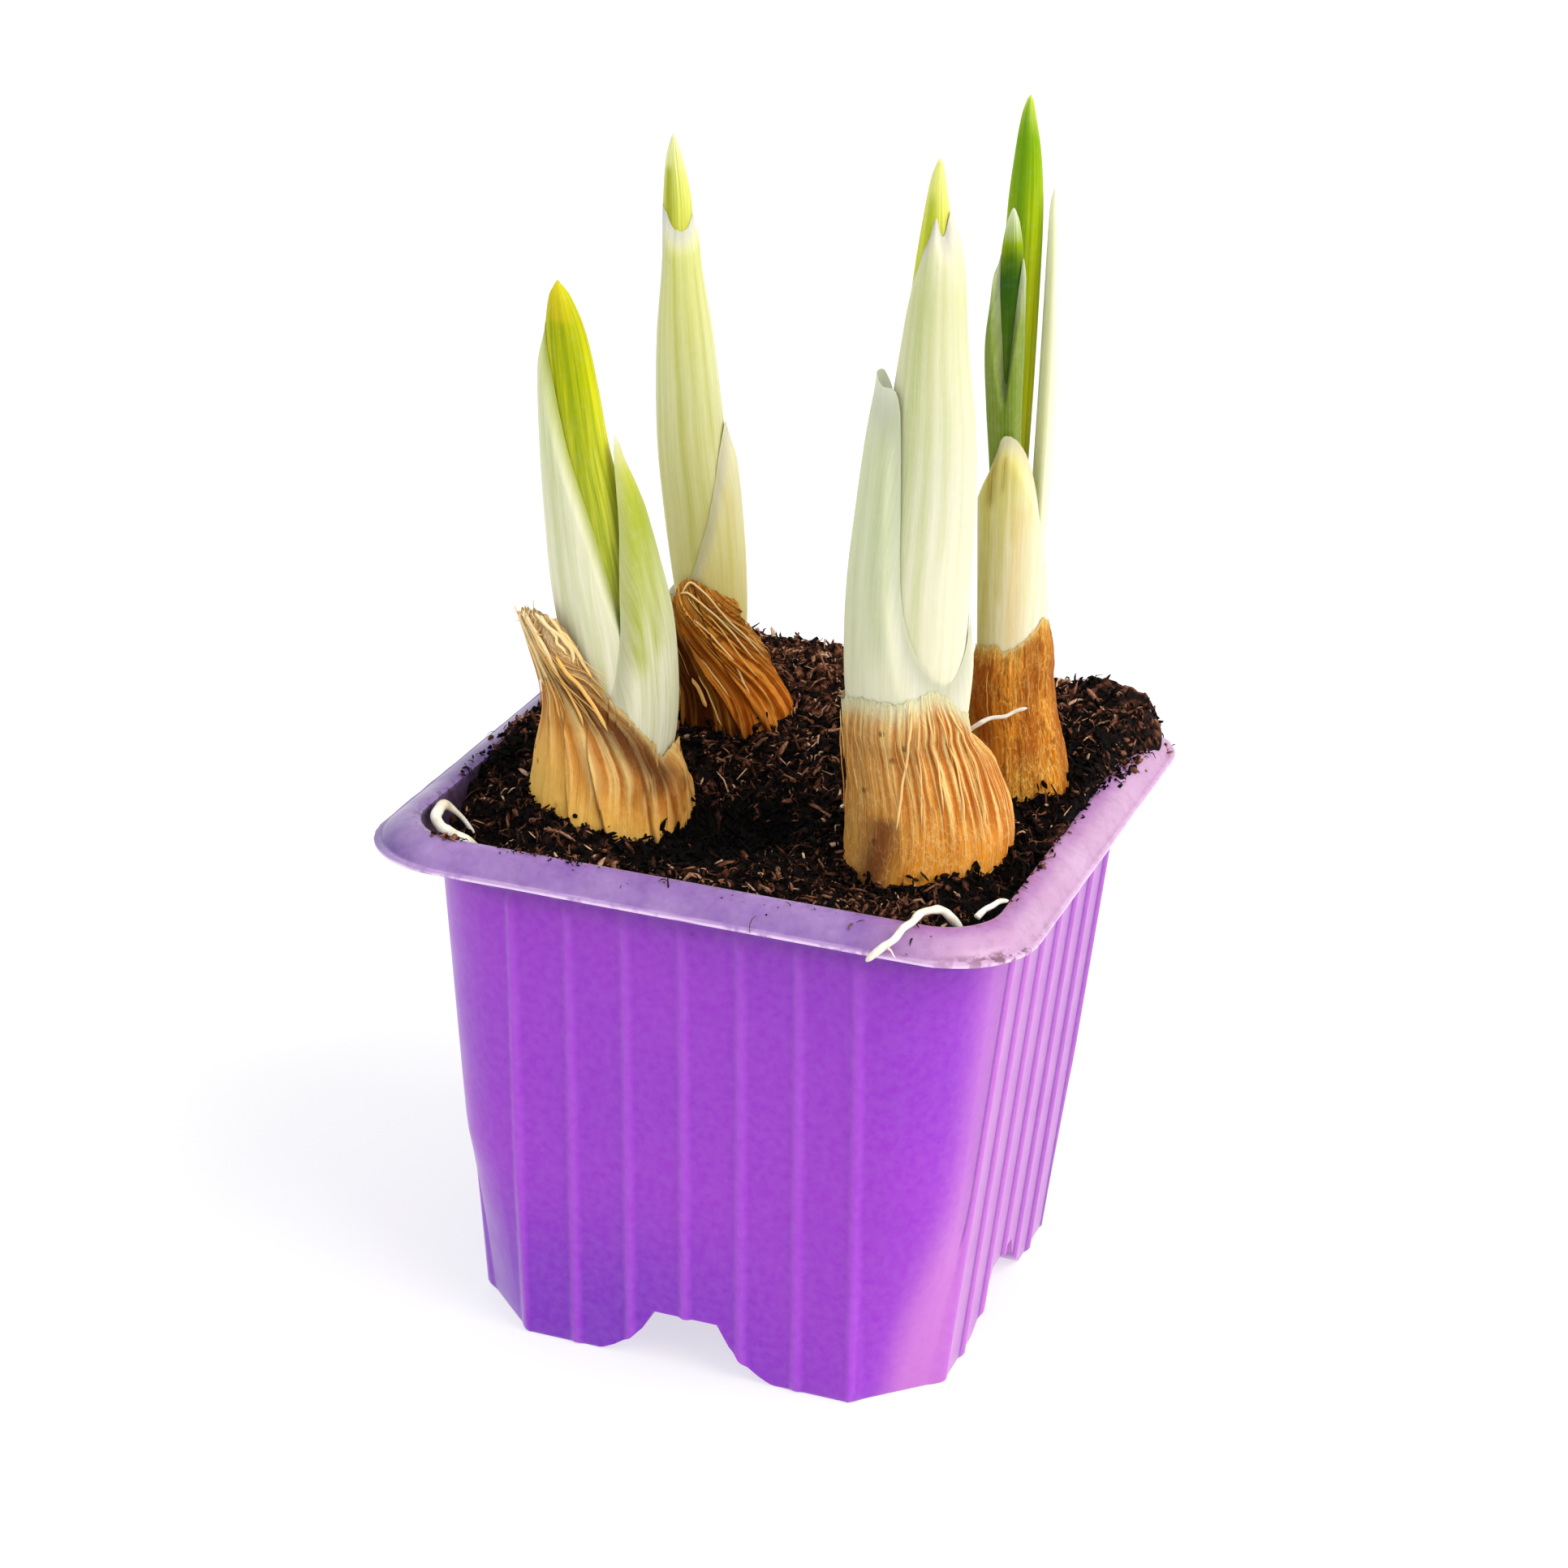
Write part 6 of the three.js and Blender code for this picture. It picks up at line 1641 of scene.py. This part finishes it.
def fibreShape(draw, places, lengths, widths, tones, heightAt=peatHeight):
    # bent strips lying on a surface, one at each place
    count, steps, sides = len(places), 4, 3
    lengths = lengths[:, None]
    t = np.linspace(-0.5, 0.5, steps)[None, :]
    heading = draw.uniform(0, 2 * math.pi, (count, 1)) + draw.uniform(-1.8, 1.8, (count, 1)) * t
    stepX, stepY = np.cos(heading) * lengths / steps, np.sin(heading) * lengths / steps
    x = places[:, :1] + np.cumsum(stepX, 1) - stepX.sum(1, keepdims=True) / 2
    y = places[:, 1:2] + np.cumsum(stepY, 1) - stepY.sum(1, keepdims=True) / 2
    arch = draw.uniform(0.0, 0.35, (count, 1)) * lengths**0.5 * (1 - (2 * t) ** 2)
    tilt = draw.normal(size=(count, 1)) * 0.5 * lengths * t * (draw.uniform(0, 1, (count, 1)) > 0.6)
    middle = heightAt(places[:, :1], places[:, 1:2])
    paths = stack(x, y, blend(heightAt(x, y), middle, 0.4) + 0.12 + arch + tilt)
    ahead = np.gradient(paths, axis=1)
    ahead /= np.linalg.norm(ahead, axis=2, keepdims=True) + 1e-9
    across = np.cross(ahead, [0, 0, 1.0])
    across /= np.linalg.norm(across, axis=2, keepdims=True) + 1e-9
    up = np.cross(across, ahead)
    radius = widths[:, None] * (1 - (1.75 * t) ** 4)
    turn = np.linspace(0, 2 * math.pi, sides, endpoint=False)[:, None]
    rings = paths[:, :, None, :] + radius[:, :, None, None] * (
        np.cos(turn) * across[:, :, None, :] * 1.5 + np.sin(turn) * up[:, :, None, :])
    size = steps * sides
    faces = repeatedFaces(gridFaces(steps, sides, True), count, size)
    faces += repeatedFaces(np.array([[2, 1, 0], [size - 3, size - 2, size - 1]]), count, size)
    return {"points": rings.reshape(-1, 3), "faces": faces, "marks": {"tone": np.repeat(tones, size)}}


def makeFibres():
    draw = np.random.default_rng(17)
    count = peat["fibres"]
    places = scatter(draw, count, 1.0, 0.25)
    lengths = np.minimum(0.8 + draw.exponential(1.2, count), 6)
    tones = barkTones(draw, count) + paler(places)
    shapes = [fibreShape(draw, places, lengths, draw.uniform(0.05, 0.16, count), tones)]
    count = peat["strips"]
    places = scatter(draw, count, 2.0, 1.0)
    tones = draw.uniform(0.45, 0.82, count) + paler(places)
    lengths, widths = draw.uniform(2.5, 6, count), draw.uniform(0.16, 0.34, count)
    shapes.append(fibreShape(draw, places, lengths, widths, tones))
    places = spillPlaces(draw)[0][::2]
    spans = ((0.6, 2.4), (0.04, 0.1), (0.2, 0.7))
    lengths, widths, tones = (draw.uniform(*span, len(places)) for span in spans)
    shapes.append(fibreShape(draw, places, lengths, widths, tones, surfaceHeight))
    makePiece("peatFibres", joinShapes(shapes), peatMaterial, "soil")


makeCrumbs()
makeFibres()
print("peat crumbs and fibres made")
